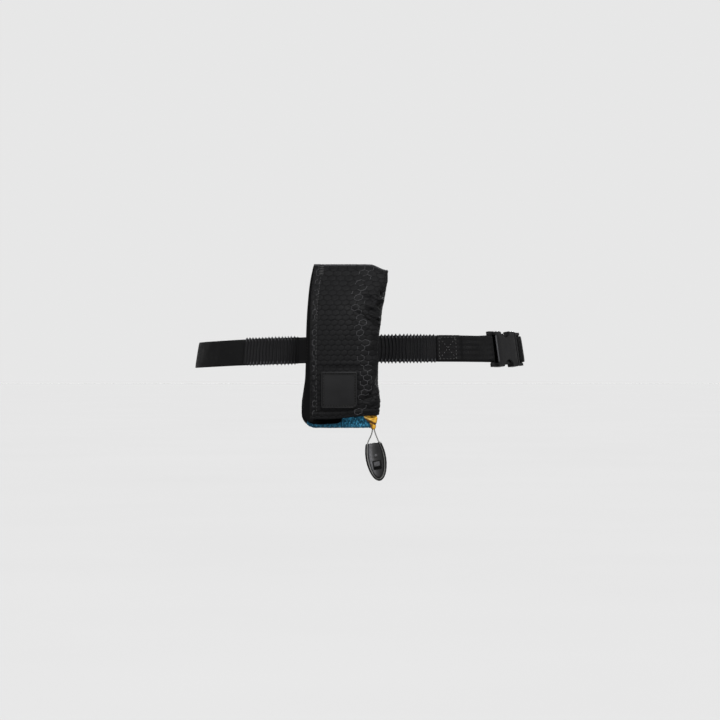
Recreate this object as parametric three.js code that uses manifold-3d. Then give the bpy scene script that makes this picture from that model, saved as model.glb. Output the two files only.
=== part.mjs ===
// Inflatable belt pack: a soft pouch with a folded bladder in it, carried on a waist belt.
// Millimetres, +Z up. The pouch faces -Y and the origin is the middle of the waist at belt height.
import * as THREE from "three";
import { mergeVertices } from "three/addons/utils/BufferGeometryUtils.js";
import Module from "manifold-3d";

const wasm = await Module();
wasm.setup();

const { lerp, smoothstep, degToRad } = THREE.MathUtils;

// Sizes shared by all pieces
const GAP = 0.4;
const WAIST = { halfWidth: 158, halfDepth: 113, squareness: 2.35, steps: 1440 };
const BELT = { height: 25, roll: 2.5, sag: 3.5, lean: degToRad(9), leanFrom: 35, leanFull: 120 };
const WEBBING = { thickness: 1.5, step: 9, turnSteps: 8 };

// Gathered elastic: its two ends, where the gathers show on each side, and its ribs
const ELASTIC = {
  thickness: 1.6,
  leftEnd: -111,
  rightEnd: 96,
  leftGathers: { from: -109, to: -54 },
  rightGathers: { from: 20, to: 68 },
  pitch: 3.9,
  ribHeight: 0.7,
  ribSteps: 4,
  flatStep: 9,
};
// Height of a layer's middle over the waist line
const LAYER = { inner: 0.75, middle: 2.75, outer: 4.75, elastic: 1.3, pressed: 2.7 };
// Where the elastic climbs over the long strap and in between the layers of the short one
const CLIMB = { overLong: 14, intoShort: 16, length: 12 };
const STRAP_SHORT = { end: 77, pressedFrom: 104, pressedTo: 121, spread: 5 };
const STRAP_LONG = { end: -84, climb: 34, tailLength: 68 };

// Pouch: depths are measured from the plane of its back
const POUCH = { backY: -117, backThickness: 2.5, cloth: 1.2, hemCloth: 2.0, hemWidth: 6.5, lowerHem: 6 };
const POUCH_SECTIONS = [
  { z: -66.4, left: -43.8, right: 20.8, depth: 32.0, corner: 9.0, crown: 1.0 },
  { z: -55.0, left: -43.9, right: 22.2, depth: 34.5, corner: 10.0, crown: 2.0 },
  { z: -44.0, left: -43.8, right: 21.6, depth: 36.5, corner: 11.0, crown: 2.6 },
  { z: -34.0, left: -43.8, right: 20.4, depth: 38.0, corner: 12.0, crown: 3.0 },
  { z: -14.0, left: -43.8, right: 20.5, depth: 39.0, corner: 13.0, crown: 3.2 },
  { z: 10.0, left: -43.8, right: 20.8, depth: 38.0, corner: 13.0, crown: 3.2 },
  { z: 22.0, left: -43.7, right: 22.6, depth: 36.0, corner: 12.0, crown: 3.0 },
  { z: 38.0, left: -43.4, right: 24.4, depth: 31.0, corner: 11.0, crown: 2.8 },
  { z: 50.0, left: -43.0, right: 26.6, depth: 25.0, corner: 9.0, crown: 2.4 },
  { z: 63.0, left: -41.8, right: 28.6, depth: 16.0, corner: 6.0, crown: 1.4 },
  { z: 73.0, left: -41.0, right: 29.6, depth: 8.6, corner: 3.0, crown: 0.4 },
  { z: 81.0, left: -40.6, right: 29.4, depth: 5.2, corner: 1.8, crown: 0.0 },
];
// Upper and lower edges of the front cloth: how far each drops or rises at a place across it
const POUCH_TOP = { drop: 5.5, from: 12, to: 29 };
const POUCH_FOOT = { rise: 3.8, from: -30, to: 20 };
const EDGE_FADE = 6;
// Dents in the front cloth: middle, direction in degrees, length, width and depth
const FOLDS = [
  { x: 11.0, z: 48.0, angle: -6, length: 17, width: 6, depth: 1.6 },
  { x: 23.0, z: 41.0, angle: -40, length: 12, width: 6, depth: 1.8 },
  { x: 17.0, z: 33.0, angle: -15, length: 18, width: 5, depth: 1.7 },
  { x: 12.0, z: 25.5, angle: -26, length: 26, width: 6, depth: 2.2 },
  { x: -25.0, z: 36.0, angle: 0, length: 30, width: 8, depth: 0.7 },
  { x: -13.0, z: -18.5, angle: 0, length: 64, width: 5, depth: 0.9 },
  { x: 18.5, z: -39.0, angle: 62, length: 16, width: 5, depth: 2.0 },
  { x: 11.5, z: -48.0, angle: 10, length: 14, width: 6, depth: 1.4 },
  { x: 26.0, z: 60.0, angle: -70, length: 16, width: 7, depth: 1.5 },
];
const FOLD_FREE_TOP = { none: 2, full: 14 };
const POUCH_GRID = { side: 4, corner: 5, front: 15, rows: 33 };

// Outer corner line of the pouch's back and left side, by height
const BACK_SECTIONS = [
  { z: -75.0, left: -52.2 },
  { z: -52.0, left: -52.2 },
  { z: -40.0, left: -50.6 },
  { z: -26.0, left: -48.8 },
  { z: 15.0, left: -47.9 },
  { z: 40.0, left: -46.7 },
  { z: 63.0, left: -44.4 },
  { z: 80.6, left: -40.8 },
];
const BACK = { foot: -75, head: 80.6, leftRadius: 13, rightRadius: 6, heightStep: 13, sideRoom: 1.1 };
const FOOT_CURVE_END = 0.2;
const SIDE = { cloth: 1.4, radius: 6, radiusShare: 0.6, setBack: 0.6, room: 1, head: 73, rows: 12 };
// Lower edge of the side: above the lining flap, and drawn up where it tucks in under the hem
const SIDE_FOOT = { overFlap: 4.6, tuckWidth: 10, tuckRise: 6.5 };
const SIDE_GRID = { wall: 3, corner: 4, tuck: 2 };

// Lining flap: a shallow trough along the bottom, its front lip by place across the pouch
const FLAP = { cloth: 1.1, foot: -75.2, backRise: 5, reach: 22.6, bend: 3, bendSteps: 3 };
const FLAP_WIDTH = { left: -47.2, right: 13, cells: 15 };
const FLAP_TAB = { start: -14, step: 0.6 };
const FLAP_LIP = [
  { x: -47.2, height: 3.2 },
  { x: -30.0, height: 3.4 },
  { x: -14.6, height: 5.6 },
  { x: -14.0, height: 12.5 },
  { x: 5.0, height: 12.5 },
  { x: 6.5, height: 11.0 },
  { x: 13.0, height: 3.2 },
];

// Folded bladder: layers of a coated sheet, and the corner that hangs out at the bottom
const BLADDER = { sheet: 1.6, layers: 6, foot: -57, head: 46, rows: 5 };
const BLADDER_ROOM = { side: 8.2, front: 10.4, back: 2 };
const BLADDER_TURN = { steps: 4, swell: 0.12 };
const BLADDER_CORNER = [
  { z: -54.0, left: 5.0, right: 14.8, ridge: 0.3 },
  { z: -61.4, left: 5.8, right: 15.6, ridge: 0.4 },
  { z: -64.6, left: 7.0, right: 18.9, ridge: 0.7 },
  { z: -69.0, left: 10.0, right: 18.4, ridge: 0.9 },
  { z: -72.8, left: 12.6, right: 17.9, ridge: 0.6 },
  { z: -75.4, left: 13.6, right: 17.4, ridge: 0.2 },
];
const CORNER_DEPTH = { front: -145.6, back: -143.4, join: -140 };
const CORNER_RIDGES = { left: 0.4, right: 0.5 };

// Rubber patch on the front cloth
const PATCH = { left: -33.7, right: 0.2, foot: -56.3, head: -21.8, thickness: 1.3, radius: 5, cells: 9 };

// Belt tunnel behind the pouch
const TUNNEL = { left: -34, right: 9, cells: 4, cloth: 1.2, behind: 0.9 };
const TUNNEL_HEIGHT = { underBelt: 15.5, slope: 3, tab: 12 };

// Side-release buckle, in its own flat frame: x along the belt, y up, z out from the waist
const BUCKLE = { x: 130.4, y: -73.4, z: -0.6, angle: degToRad(57) };
const SOCKET = {
  length: 39, halfWidth: 17.4, foot: 0.5, head: 8, bevel: 0.9,
  cavity: { from: 5, halfWidth: 13.3, foot: 2.3, head: 6.2 },
  notch: { x: 19.5, halfLength: 8.4, depth: 6.6 },
};
const BUCKLE_BAR = { radius: 1.4, z: 3.3, sides: 8, slot: 4.8, play: 1.1, railCover: 0.2, railRoot: 1.5 };
const CLIP = {
  gap: 0.5, length: 11.5, shoulder: 3.6, halfWidth: 16.4, foot: 1.6, head: 5.8, bevel: 0.6,
  arm: { from: 12, inner: 8.6, outer: 12.7, foot: 2.7, head: 5.8 },
  grip: { base: 11.2, top: 15.4, length: 11 },
  spine: { from: 21, halfWidth: 3 },
};
const SLOT_HALF = 13.8;

// Pull toggle, in its own frame: x across, y up its axis, z out to the front
const TOGGLE = { x: 15.6, y: -144, z: -89.5, tilt: degToRad(10) };
const TEARDROP = { length: 36.5, halfWidth: 9.8, halfTop: 7.4, widest: 14, upperSteps: 5, lowerSteps: 7 };
const SHELL = { back: -3.6, front: 2.5, bevel: 1.1, rim: 0.8, floor: -0.5, openTop: 3 };
const PLATE = { back: -0.1, front: 3.3, bevel: 0.6, inset: 3.1 };
const WINDOW = { y: -21.2, width: 8.6, height: 8.8, depth: 1.1, slotWidth: 7, slotHeight: 2.8 };
const PIN = { y: -12.2, radius: 1.4, topRadius: 1, height: 0.5, sides: 12 };

// Pull cord: its middle line from the bladder's corner, round the toggle's groove and back
const CORD = { diameter: 1.2, sides: 8, steps: 44, y: -144.5 };
const CORD_ROUTE = [
  { x: 14.9, z: -75.9 },
  { x: 14.6, z: -78.5 },
  { x: 13.8, z: -81.5 },
  { x: 12.5, z: -84.6 },
  { x: 11.0, z: -87.6 },
  { x: 10.2, z: -90.5 },
  { x: 9.8, z: -94.0 },
  { x: 9.7, z: -98.5 },
  { x: 10.3, z: -104.6 },
  { x: 11.7, z: -110.5 },
  { x: 13.4, z: -115.3 },
  { x: 15.9, z: -119.8 },
  { x: 18.8, z: -122.8 },
  { x: 21.6, z: -123.6 },
  { x: 24.0, z: -122.0 },
  { x: 25.7, z: -118.2 },
  { x: 26.5, z: -113.0 },
  { x: 26.4, z: -107.0 },
  { x: 25.8, z: -102.0 },
  { x: 24.3, z: -96.1 },
  { x: 22.6, z: -91.8 },
  { x: 20.9, z: -88.4 },
  { x: 19.2, z: -84.6 },
  { x: 17.7, z: -80.6 },
  { x: 16.8, z: -77.8 },
  { x: 16.5, z: -75.9 },
];

// Finish of each kind of piece
const FINISH = {
  ripstop: { color: 0x1c1c1e, roughness: 0.55, metalness: 0 },
  plainCloth: { color: 0x131314, roughness: 0.8, metalness: 0 },
  lining: { color: 0x2a6d8c, roughness: 0.9, metalness: 0 },
  bladder: { color: 0xe3b23c, roughness: 0.5, metalness: 0 },
  rubber: { color: 0x2a2a2b, roughness: 0.6, metalness: 0 },
  webbing: { color: 0x19191b, roughness: 0.75, metalness: 0 },
  plastic: { color: 0x202022, roughness: 0.4, metalness: 0 },
  cord: { color: 0x8c8c8c, roughness: 0.7, metalness: 0 },
};

// Value of a table's column at a height or place, on a smooth curve through its rows
function tableAt(table, key, column, value) {
  const last = table.length - 1;
  const next = table.findIndex((row) => row[key] > value);
  const hi = next < 0 ? last : Math.max(next, 1);
  const lo = hi - 1;
  const slope = (a, b) => (table[b][column] - table[a][column]) / (table[b][key] - table[a][key]);
  const span = table[hi][key] - table[lo][key];
  const startSlope = slope(Math.max(lo - 1, 0), hi);
  const endSlope = slope(lo, Math.min(hi + 1, last));
  const t = THREE.MathUtils.clamp((value - table[lo][key]) / span, 0, 1);
  const share = 3 * t ** 2 - 2 * t ** 3;
  const startPull = (t ** 3 - 2 * t ** 2 + t) * span * startSlope;
  const endPull = (t ** 3 - t ** 2) * span * endSlope;
  return lerp(table[lo][column], table[hi][column], share) + startPull + endPull;
}

// Closed geometry from points and triangles, turned so that its faces point out
function closedGeometry(points, faces) {
  const volume = faces.reduce((sum, [a, b, c]) => {
    return sum + points[a].dot(points[b].clone().cross(points[c]));
  }, 0);
  const index = faces.flatMap(([a, b, c]) => (volume < 0 ? [a, c, b] : [a, b, c]));
  const geometry = new THREE.BufferGeometry().setFromPoints(points);
  geometry.setIndex(index);
  return geometry;
}

// Solid sheet between two grids of points, closed round its four edges
function sheetSolid(columns, rows, outer, inner) {
  const points = [];
  const faces = [];
  const at = (side, i, j) => (side * columns + i) * rows + j;
  const quad = (a, b, c, d) => faces.push([a, b, c], [a, c, d]);
  for (const surface of [outer, inner]) {
    for (let i = 0; i < columns; i++) {
      for (let j = 0; j < rows; j++) {
        points.push(surface(i, j));
      }
    }
  }
  const endColumn = columns - 1;
  const endRow = rows - 1;
  for (let i = 0; i < endColumn; i++) {
    for (let j = 0; j < endRow; j++) {
      quad(at(0, i, j), at(0, i + 1, j), at(0, i + 1, j + 1), at(0, i, j + 1));
      quad(at(1, i, j), at(1, i, j + 1), at(1, i + 1, j + 1), at(1, i + 1, j));
    }
    quad(at(0, i + 1, 0), at(0, i, 0), at(1, i, 0), at(1, i + 1, 0));
    quad(at(0, i, endRow), at(0, i + 1, endRow), at(1, i + 1, endRow), at(1, i, endRow));
  }
  for (let j = 0; j < endRow; j++) {
    quad(at(0, 0, j), at(0, 0, j + 1), at(1, 0, j + 1), at(1, 0, j));
    quad(at(0, endColumn, j + 1), at(0, endColumn, j), at(1, endColumn, j), at(1, endColumn, j + 1));
  }
  return closedGeometry(points, faces);
}

// Solid through rings of points, closed at both ends
function loftSolid(rings) {
  const sides = rings[0].length;
  const points = rings.flat();
  const faces = [];
  for (let k = 0; k < rings.length - 1; k++) {
    for (let i = 0; i < sides; i++) {
      const a = k * sides + i;
      const b = k * sides + ((i + 1) % sides);
      faces.push([a, b, b + sides], [a, b + sides, a + sides]);
    }
  }
  const lastRing = (rings.length - 1) * sides;
  for (let i = 1; i < sides - 1; i++) {
    faces.push([0, i + 1, i], [lastRing, lastRing + i, lastRing + i + 1]);
  }
  return closedGeometry(points, faces);
}

// Flat outline with a thickness, its edges rounded off by the bevel
function slab(outline, foot, head, bevel = 0) {
  const shape = outline instanceof THREE.Shape ? outline : new THREE.Shape(outline);
  const geometry = new THREE.ExtrudeGeometry(shape, {
    depth: head - foot - 2 * bevel,
    bevelEnabled: bevel > 0,
    bevelThickness: bevel,
    bevelSize: bevel,
    bevelOffset: -bevel,
    bevelSegments: 2,
    curveSegments: 6,
  });
  return geometry.translate(0, 0, foot + bevel);
}

function block(x0, x1, y0, y1, z0, z1) {
  const geometry = new THREE.BoxGeometry(x1 - x0, y1 - y0, z1 - z0);
  return geometry.translate((x0 + x1) / 2, (y0 + y1) / 2, (z0 + z1) / 2);
}

// Joins and cuts of closed geometries
function solidOf(geometry) {
  const bare = new THREE.BufferGeometry();
  bare.setAttribute("position", geometry.getAttribute("position"));
  bare.setIndex(geometry.getIndex());
  const merged = mergeVertices(bare);
  const vertProperties = new Float32Array(merged.getAttribute("position").array);
  const triVerts = new Uint32Array(merged.getIndex().array);
  return new wasm.Manifold(new wasm.Mesh({ numProp: 3, vertProperties, triVerts }));
}

function geometryOf(solid) {
  const mesh = solid.getMesh();
  const geometry = new THREE.BufferGeometry();
  geometry.setAttribute("position", new THREE.BufferAttribute(mesh.vertProperties, mesh.numProp));
  geometry.setIndex(new THREE.BufferAttribute(mesh.triVerts, 1));
  return geometry;
}

function carve(base, { joins = [], cuts = [] }) {
  const joined = joins.reduce((solid, piece) => solid.add(solidOf(piece)), solidOf(base));
  return geometryOf(cuts.reduce((solid, piece) => solid.subtract(solidOf(piece)), joined));
}

function piece(name, geometry, finish) {
  geometry.computeVertexNormals();
  const mesh = new THREE.Mesh(geometry, new THREE.MeshStandardMaterial(FINISH[finish]));
  mesh.name = name;
  return mesh;
}

// Waist line: a rounded oval, measured along from the middle of the back towards +X
function ovalPoint(turn) {
  const angle = turn * 2 * Math.PI - Math.PI / 2;
  const bend = (v) => Math.sign(v) * Math.abs(v) ** (2 / WAIST.squareness);
  const x = WAIST.halfWidth * bend(Math.cos(angle));
  const y = WAIST.halfDepth * bend(Math.sin(angle));
  return new THREE.Vector2(x, y);
}

const waistLine = Array.from({ length: WAIST.steps + 1 }, (_, i) => ovalPoint(i / WAIST.steps));
const waistReach = [0];
for (let i = 1; i <= WAIST.steps; i++) {
  waistReach.push(waistReach[i - 1] + waistLine[i].distanceTo(waistLine[i - 1]));
}
const waistLength = waistReach[WAIST.steps];

function waistAt(along) {
  const s = ((along % waistLength) + waistLength) % waistLength;
  const next = Math.max(waistReach.findIndex((reach) => reach > s), 1);
  const part = (s - waistReach[next - 1]) / (waistReach[next] - waistReach[next - 1]);
  return waistLine[next - 1].clone().lerp(waistLine[next], part);
}

function waistOut(along) {
  const ahead = waistAt(along + 1).sub(waistAt(along - 1)).normalize();
  return new THREE.Vector2(ahead.y, -ahead.x);
}

// Distance along the waist line, and out from it, of a point of the plan
function waistSpot(point) {
  const distances = waistLine.map((spot) => spot.distanceTo(point));
  const nearest = distances.indexOf(Math.min(...distances));
  const along = waistReach[nearest];
  return { along, out: point.clone().sub(waistAt(along)).dot(waistOut(along)) };
}

function beltRise(x) {
  const share = x / WAIST.halfWidth;
  return BELT.roll * share - BELT.sag * share ** 2;
}

// Point of the belt: along it, out from the waist and up it. The belt leans out at the hips.
function beltPoint(along, out, up) {
  const at = waistAt(along);
  const away = waistOut(along);
  const lean = BELT.lean * smoothstep(Math.abs(at.x), BELT.leanFrom, BELT.leanFull);
  const shift = out * Math.cos(lean) - up * Math.sin(lean);
  const z = beltRise(at.x) + out * Math.sin(lean) + up * Math.cos(lean);
  return new THREE.Vector3(at.x + away.x * shift, at.y + away.y * shift, z);
}

// Flat band along a path of { along, out } points, as tall as the belt
function band(path, thickness, bulge = () => 0) {
  const normals = path.map((_, i) => {
    const before = path[Math.max(i - 1, 0)];
    const after = path[Math.min(i + 1, path.length - 1)];
    const ahead = new THREE.Vector2(after.along - before.along, after.out - before.out).normalize();
    return new THREE.Vector2(-ahead.y, ahead.x);
  });
  const face = (side) => (i, j) => {
    const offset = side * thickness / 2 + (side > 0 ? bulge(path[i].along) : 0);
    const up = (j - 0.5) * BELT.height;
    return beltPoint(path[i].along + normals[i].x * offset, path[i].out + normals[i].y * offset, up);
  };
  return sheetSolid(path.length, 2, face(1), face(-1));
}

// Path between two spots, its height easing from one to the other
function easedPath(from, to, step) {
  const count = Math.max(Math.ceil(Math.abs(to.along - from.along) / step), 1);
  return Array.from({ length: count }, (_, i) => {
    const t = i / count;
    return { along: lerp(from.along, to.along, t), out: lerp(from.out, to.out, smoothstep(t, 0, 1)) };
  });
}

// Half turn round a bar, from under it to over it
function turnRound(bar, radius, direction) {
  return Array.from({ length: WEBBING.turnSteps + 1 }, (_, i) => {
    const angle = -Math.PI / 2 + (Math.PI * i) / WEBBING.turnSteps;
    const along = bar.along + direction * radius * Math.cos(angle);
    return { along, out: bar.out + radius * Math.sin(angle) };
  });
}

// Pouch front: a wall that runs forward from the back, round the right corner and across the front
function pouchColumn(i) {
  if (i <= POUCH_GRID.side) {
    return { part: "side", t: i / POUCH_GRID.side };
  }
  if (i <= POUCH_GRID.side + POUCH_GRID.corner) {
    return { part: "corner", t: (i - POUCH_GRID.side) / POUCH_GRID.corner };
  }
  return { part: "front", t: (i - POUCH_GRID.side - POUCH_GRID.corner) / POUCH_GRID.front };
}

function pouchSection(z) {
  const column = (name) => tableAt(POUCH_SECTIONS, "z", name, z);
  return {
    left: column("left"),
    right: column("right"),
    depth: column("depth"),
    corner: column("corner"),
    crown: column("crown"),
  };
}

function foldDepth(x, z) {
  return FOLDS.reduce((sum, fold) => {
    const turn = degToRad(fold.angle);
    const alongFold = (x - fold.x) * Math.cos(turn) + (z - fold.z) * Math.sin(turn);
    const acrossFold = (z - fold.z) * Math.cos(turn) - (x - fold.x) * Math.sin(turn);
    const fade = (2 * alongFold / fold.length) ** 2 + (2 * acrossFold / fold.width) ** 2;
    return sum + fold.depth * Math.exp(-fade);
  }, 0);
}

// Place on the front's outer face, and the direction out of it in plan
function pouchSpot(i, z) {
  const { part, t } = pouchColumn(i);
  const { left, right, depth, corner, crown } = pouchSection(z);
  const turnY = POUCH.backY - depth + corner;
  if (part === "side") {
    return { x: right, y: lerp(POUCH.backY, turnY, t), outX: 1, outY: 0, slack: t };
  }
  if (part === "corner") {
    const angle = t * Math.PI / 2;
    const out = { outX: Math.cos(angle), outY: -Math.sin(angle) };
    return { x: right - corner + corner * out.outX, y: turnY + corner * out.outY, ...out, slack: 1 };
  }
  const x = lerp(right - corner, left, t);
  const y = POUCH.backY - depth - crown * Math.sin(t * Math.PI) ** 2;
  return { x, y, outX: 0, outY: -1, slack: 1 };
}

function pouchEdgeShift(x, t) {
  const drop = POUCH_TOP.drop * smoothstep(x, POUCH_TOP.from, POUCH_TOP.to);
  const rise = POUCH_FOOT.rise * smoothstep(x, POUCH_FOOT.from, POUCH_FOOT.to);
  return rise * (1 - t) ** EDGE_FADE - drop * t ** EDGE_FADE;
}

function pouchFront() {
  const columns = POUCH_GRID.side + POUCH_GRID.corner + POUCH_GRID.front + 1;
  const foot = POUCH_SECTIONS[0].z;
  const head = POUCH_SECTIONS[POUCH_SECTIONS.length - 1].z;
  const face = (inside) => (i, j) => {
    const t = j / (POUCH_GRID.rows - 1);
    const z = lerp(foot, head, t);
    const spot = pouchSpot(i, z);
    const loose = spot.slack * smoothstep(head - z, FOLD_FREE_TOP.none, FOLD_FREE_TOP.full);
    const nearLeft = spot.x < pouchSection(z).left + POUCH.hemWidth;
    const nearFoot = z < foot + POUCH.lowerHem;
    const hem = spot.outY === -1 && (nearLeft || nearFoot);
    const cloth = hem ? POUCH.hemCloth : POUCH.cloth;
    const inward = foldDepth(spot.x, z) * loose + (inside ? cloth : 0);
    const x = spot.x - spot.outX * inward;
    const y = spot.y - spot.outY * inward;
    return new THREE.Vector3(x, y, z + pouchEdgeShift(spot.x, t));
  };
  return sheetSolid(columns, POUCH_GRID.rows, face(false), face(true));
}

// Outer face of the front cloth straight behind a place of the photo's view
function frontFace(x, z) {
  const { left, right, depth, corner, crown } = pouchSection(z);
  const t = (right - corner - x) / (right - corner - left);
  return POUCH.backY - depth - crown * Math.sin(t * Math.PI) ** 2 + foldDepth(x, z);
}

function backLeft(z) {
  return tableAt(BACK_SECTIONS, "z", "left", z);
}

// Lower left corner of the pouch as the view from the front shows it
function roundedFoot(x, foot) {
  const deepest = BACK.leftRadius - FOOT_CURVE_END;
  const into = THREE.MathUtils.clamp(backLeft(foot) + BACK.leftRadius - x, 0, deepest);
  return foot + BACK.leftRadius - Math.sqrt(BACK.leftRadius ** 2 - into ** 2);
}

function pouchBack() {
  const clearance = POUCH.cloth + BACK.sideRoom;
  const rightEdge = (z) => {
    const levels = [z, z - POUCH_FOOT.rise, z + POUCH_TOP.drop];
    return Math.min(...levels.map((level) => pouchSection(level).right)) - clearance;
  };
  const left = backLeft(BACK.foot);
  const right = rightEdge(BACK.foot);
  const topDrop = (x) => POUCH_TOP.drop * smoothstep(x, POUCH_TOP.from, POUCH_TOP.to);
  const shape = new THREE.Shape();
  shape.moveTo(left + BACK.leftRadius, BACK.foot);
  shape.lineTo(right - BACK.rightRadius, BACK.foot);
  const rightCentre = [right - BACK.rightRadius, BACK.foot + BACK.rightRadius];
  shape.absarc(...rightCentre, BACK.rightRadius, -Math.PI / 2, 0, false);
  const rightFoot = BACK.foot + 2 * BACK.rightRadius;
  for (let z = rightFoot; z < BACK.head - BACK.heightStep; z += BACK.heightStep / 2) {
    shape.lineTo(rightEdge(z), z);
  }
  shape.lineTo(rightEdge(BACK.head), BACK.head - topDrop(rightEdge(BACK.head)));
  shape.lineTo(POUCH_TOP.from, BACK.head);
  for (let z = BACK.head; z > BACK.foot + BACK.leftRadius; z -= BACK.heightStep) {
    shape.lineTo(backLeft(z), z);
  }
  const leftCentre = [left + BACK.leftRadius, BACK.foot + BACK.leftRadius];
  shape.absarc(...leftCentre, BACK.leftRadius, Math.PI, 1.5 * Math.PI, false);
  const geometry = slab(shape, 0, POUCH.backThickness);
  return geometry.rotateX(Math.PI / 2).translate(0, POUCH.backY, 0);
}

// Left side: forward from the back's edge, round the corner and in under the hem
function sideSpot(i, level, inset) {
  const start = POUCH.backY - POUCH.backThickness - GAP;
  const { left, depth } = pouchSection(level);
  const front = POUCH.backY - depth + POUCH.hemCloth + SIDE.room;
  const radius = Math.min(SIDE.radius, (start - front) * SIDE.radiusShare);
  const turn = new THREE.Vector2(left + SIDE.setBack + radius, front + radius);
  if (i <= SIDE_GRID.wall) {
    const t = i / SIDE_GRID.wall;
    return new THREE.Vector2(lerp(backLeft(level), turn.x - radius, t) + inset, lerp(start, turn.y, t));
  }
  if (i <= SIDE_GRID.wall + SIDE_GRID.corner) {
    const angle = Math.PI * (1 + (i - SIDE_GRID.wall) / SIDE_GRID.corner / 2);
    const reach = radius - inset;
    return new THREE.Vector2(turn.x + reach * Math.cos(angle), turn.y + reach * Math.sin(angle));
  }
  const t = (i - SIDE_GRID.wall - SIDE_GRID.corner) / SIDE_GRID.tuck;
  return new THREE.Vector2(turn.x + t * SIDE_FOOT.tuckWidth, front + inset);
}

function pouchSide() {
  const columns = SIDE_GRID.wall + SIDE_GRID.corner + SIDE_GRID.tuck + 1;
  const face = (inset) => (i, j) => {
    const edge = roundedFoot(sideSpot(i, FLAP.foot, 0).x, FLAP.foot) + SIDE_FOOT.overFlap;
    const drawnUp = SIDE_FOOT.tuckRise * smoothstep(i - SIDE_GRID.wall, 0, SIDE_GRID.corner);
    const z = lerp(edge + drawnUp, SIDE.head, j / (SIDE.rows - 1));
    const spot = sideSpot(i, z, inset);
    return new THREE.Vector3(spot.x, spot.y, z);
  };
  return sheetSolid(columns, SIDE.rows, face(0), face(SIDE.cloth));
}

// Lining flap: from the pouch's back, forward along the bottom and up to its lip
function flapProfile(x) {
  const foot = roundedFoot(x, FLAP.foot);
  const lip = tableAt(FLAP_LIP, "x", "height", x);
  const back = POUCH.backY - POUCH.backThickness - GAP;
  const front = back - FLAP.reach;
  return { foot, lip, back, front };
}

function liningFlap() {
  const { left, right, cells } = FLAP_WIDTH;
  const evenly = Array.from({ length: cells + 1 }, (_, i) => lerp(left, right, i / cells));
  const across = [...evenly, FLAP_TAB.start - FLAP_TAB.step, FLAP_TAB.start].sort((a, b) => a - b);
  const { bend, bendSteps } = FLAP;
  const rows = 2 * bendSteps + 4;
  const face = (inset) => (i, j) => {
    const x = across[i];
    const { foot, lip, back, front } = flapProfile(x);
    if (j === 0) {
      return new THREE.Vector3(x, back - inset, foot + FLAP.backRise);
    }
    if (j === rows - 1) {
      return new THREE.Vector3(x, front + inset, foot + lip);
    }
    const rear = j <= bendSteps + 1;
    const t = rear ? (j - 1) / bendSteps : (j - bendSteps - 2) / bendSteps;
    const angle = rear ? -t * Math.PI / 2 : -Math.PI / 2 - t * Math.PI / 2;
    const centreY = rear ? back - bend : front + bend;
    const reach = bend - inset;
    return new THREE.Vector3(x, centreY + reach * Math.cos(angle), foot + bend + reach * Math.sin(angle));
  };
  return sheetSolid(across.length, rows, face(0), face(FLAP.cloth));
}

// Bladder: one sheet folded to and fro between the pouch's back and front
function bladderPath() {
  const path = [];
  const { steps, swell } = BLADDER_TURN;
  for (let layer = 0; layer < BLADDER.layers; layer++) {
    const towards = layer % 2 === 0 ? 1 : -1;
    path.push({ across: -towards, layer }, { across: 0, layer }, { across: towards, layer });
    for (let k = 1; k < steps && layer < BLADDER.layers - 1; k++) {
      const angle = (Math.PI * k) / steps;
      const across = towards * (1 + swell * Math.sin(angle));
      path.push({ across, layer: layer + (1 - Math.cos(angle)) / 2 });
    }
  }
  return path;
}

function bladderPack() {
  const path = bladderPath();
  const back = POUCH.backY - POUCH.backThickness - BLADDER_ROOM.back;
  const spotAt = (step, z) => {
    const { left, right, depth } = pouchSection(z);
    const middle = (left + right) / 2;
    const half = (right - left) / 2 - BLADDER_ROOM.side;
    const pitch = (depth - BLADDER_ROOM.front) / (BLADDER.layers - 1);
    return new THREE.Vector2(middle + step.across * half, back - pitch * step.layer);
  };
  const face = (side) => (i, j) => {
    const z = lerp(BLADDER.foot, BLADDER.head, j / (BLADDER.rows - 1));
    const here = spotAt(path[i], z);
    const before = spotAt(path[Math.max(i - 1, 0)], z);
    const after = spotAt(path[Math.min(i + 1, path.length - 1)], z);
    const ahead = after.sub(before).normalize();
    const offset = side * BLADDER.sheet / 2;
    return new THREE.Vector3(here.x - ahead.y * offset, here.y + ahead.x * offset, z);
  };
  return sheetSolid(path.length, BLADDER.rows, face(1), face(-1));
}

function bladderCorner() {
  const rings = BLADDER_CORNER.map(({ z, left, right, ridge }, k) => {
    const back = k === 0 ? CORNER_DEPTH.join : CORNER_DEPTH.back;
    const middle = (left + right) / 2;
    const ring = [
      [left, back],
      [right, back],
      [right, CORNER_DEPTH.front + ridge],
      [lerp(middle, right, CORNER_RIDGES.right), CORNER_DEPTH.front],
      [middle, CORNER_DEPTH.front + ridge],
      [lerp(left, middle, CORNER_RIDGES.left), CORNER_DEPTH.front],
      [left, CORNER_DEPTH.front + ridge],
    ];
    return ring.map(([x, y]) => new THREE.Vector3(x, y, z));
  });
  return loftSolid(rings);
}

function bladder() {
  return carve(bladderPack(), { joins: [bladderCorner()] });
}

// Patch: follows the front cloth, with one corner rounder than the rest
function patch() {
  const count = PATCH.cells + 1;
  const face = (lift) => (i, j) => {
    const z = lerp(PATCH.foot, PATCH.head, j / PATCH.cells);
    const under = Math.max(PATCH.radius - (z - PATCH.foot), 0);
    const cut = PATCH.radius - Math.sqrt(PATCH.radius ** 2 - under ** 2);
    const x = lerp(PATCH.left, PATCH.right - cut, i / PATCH.cells);
    return new THREE.Vector3(x, frontFace(x, z) - lift, z);
  };
  return sheetSolid(count, count, face(GAP + PATCH.thickness), face(GAP));
}

// Belt tunnel: a strip behind the belt, its two ends against the pouch's back
function waistDepth(x) {
  const power = WAIST.squareness;
  return WAIST.halfDepth * (1 - Math.abs(x / WAIST.halfWidth) ** power) ** (1 / power);
}

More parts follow.
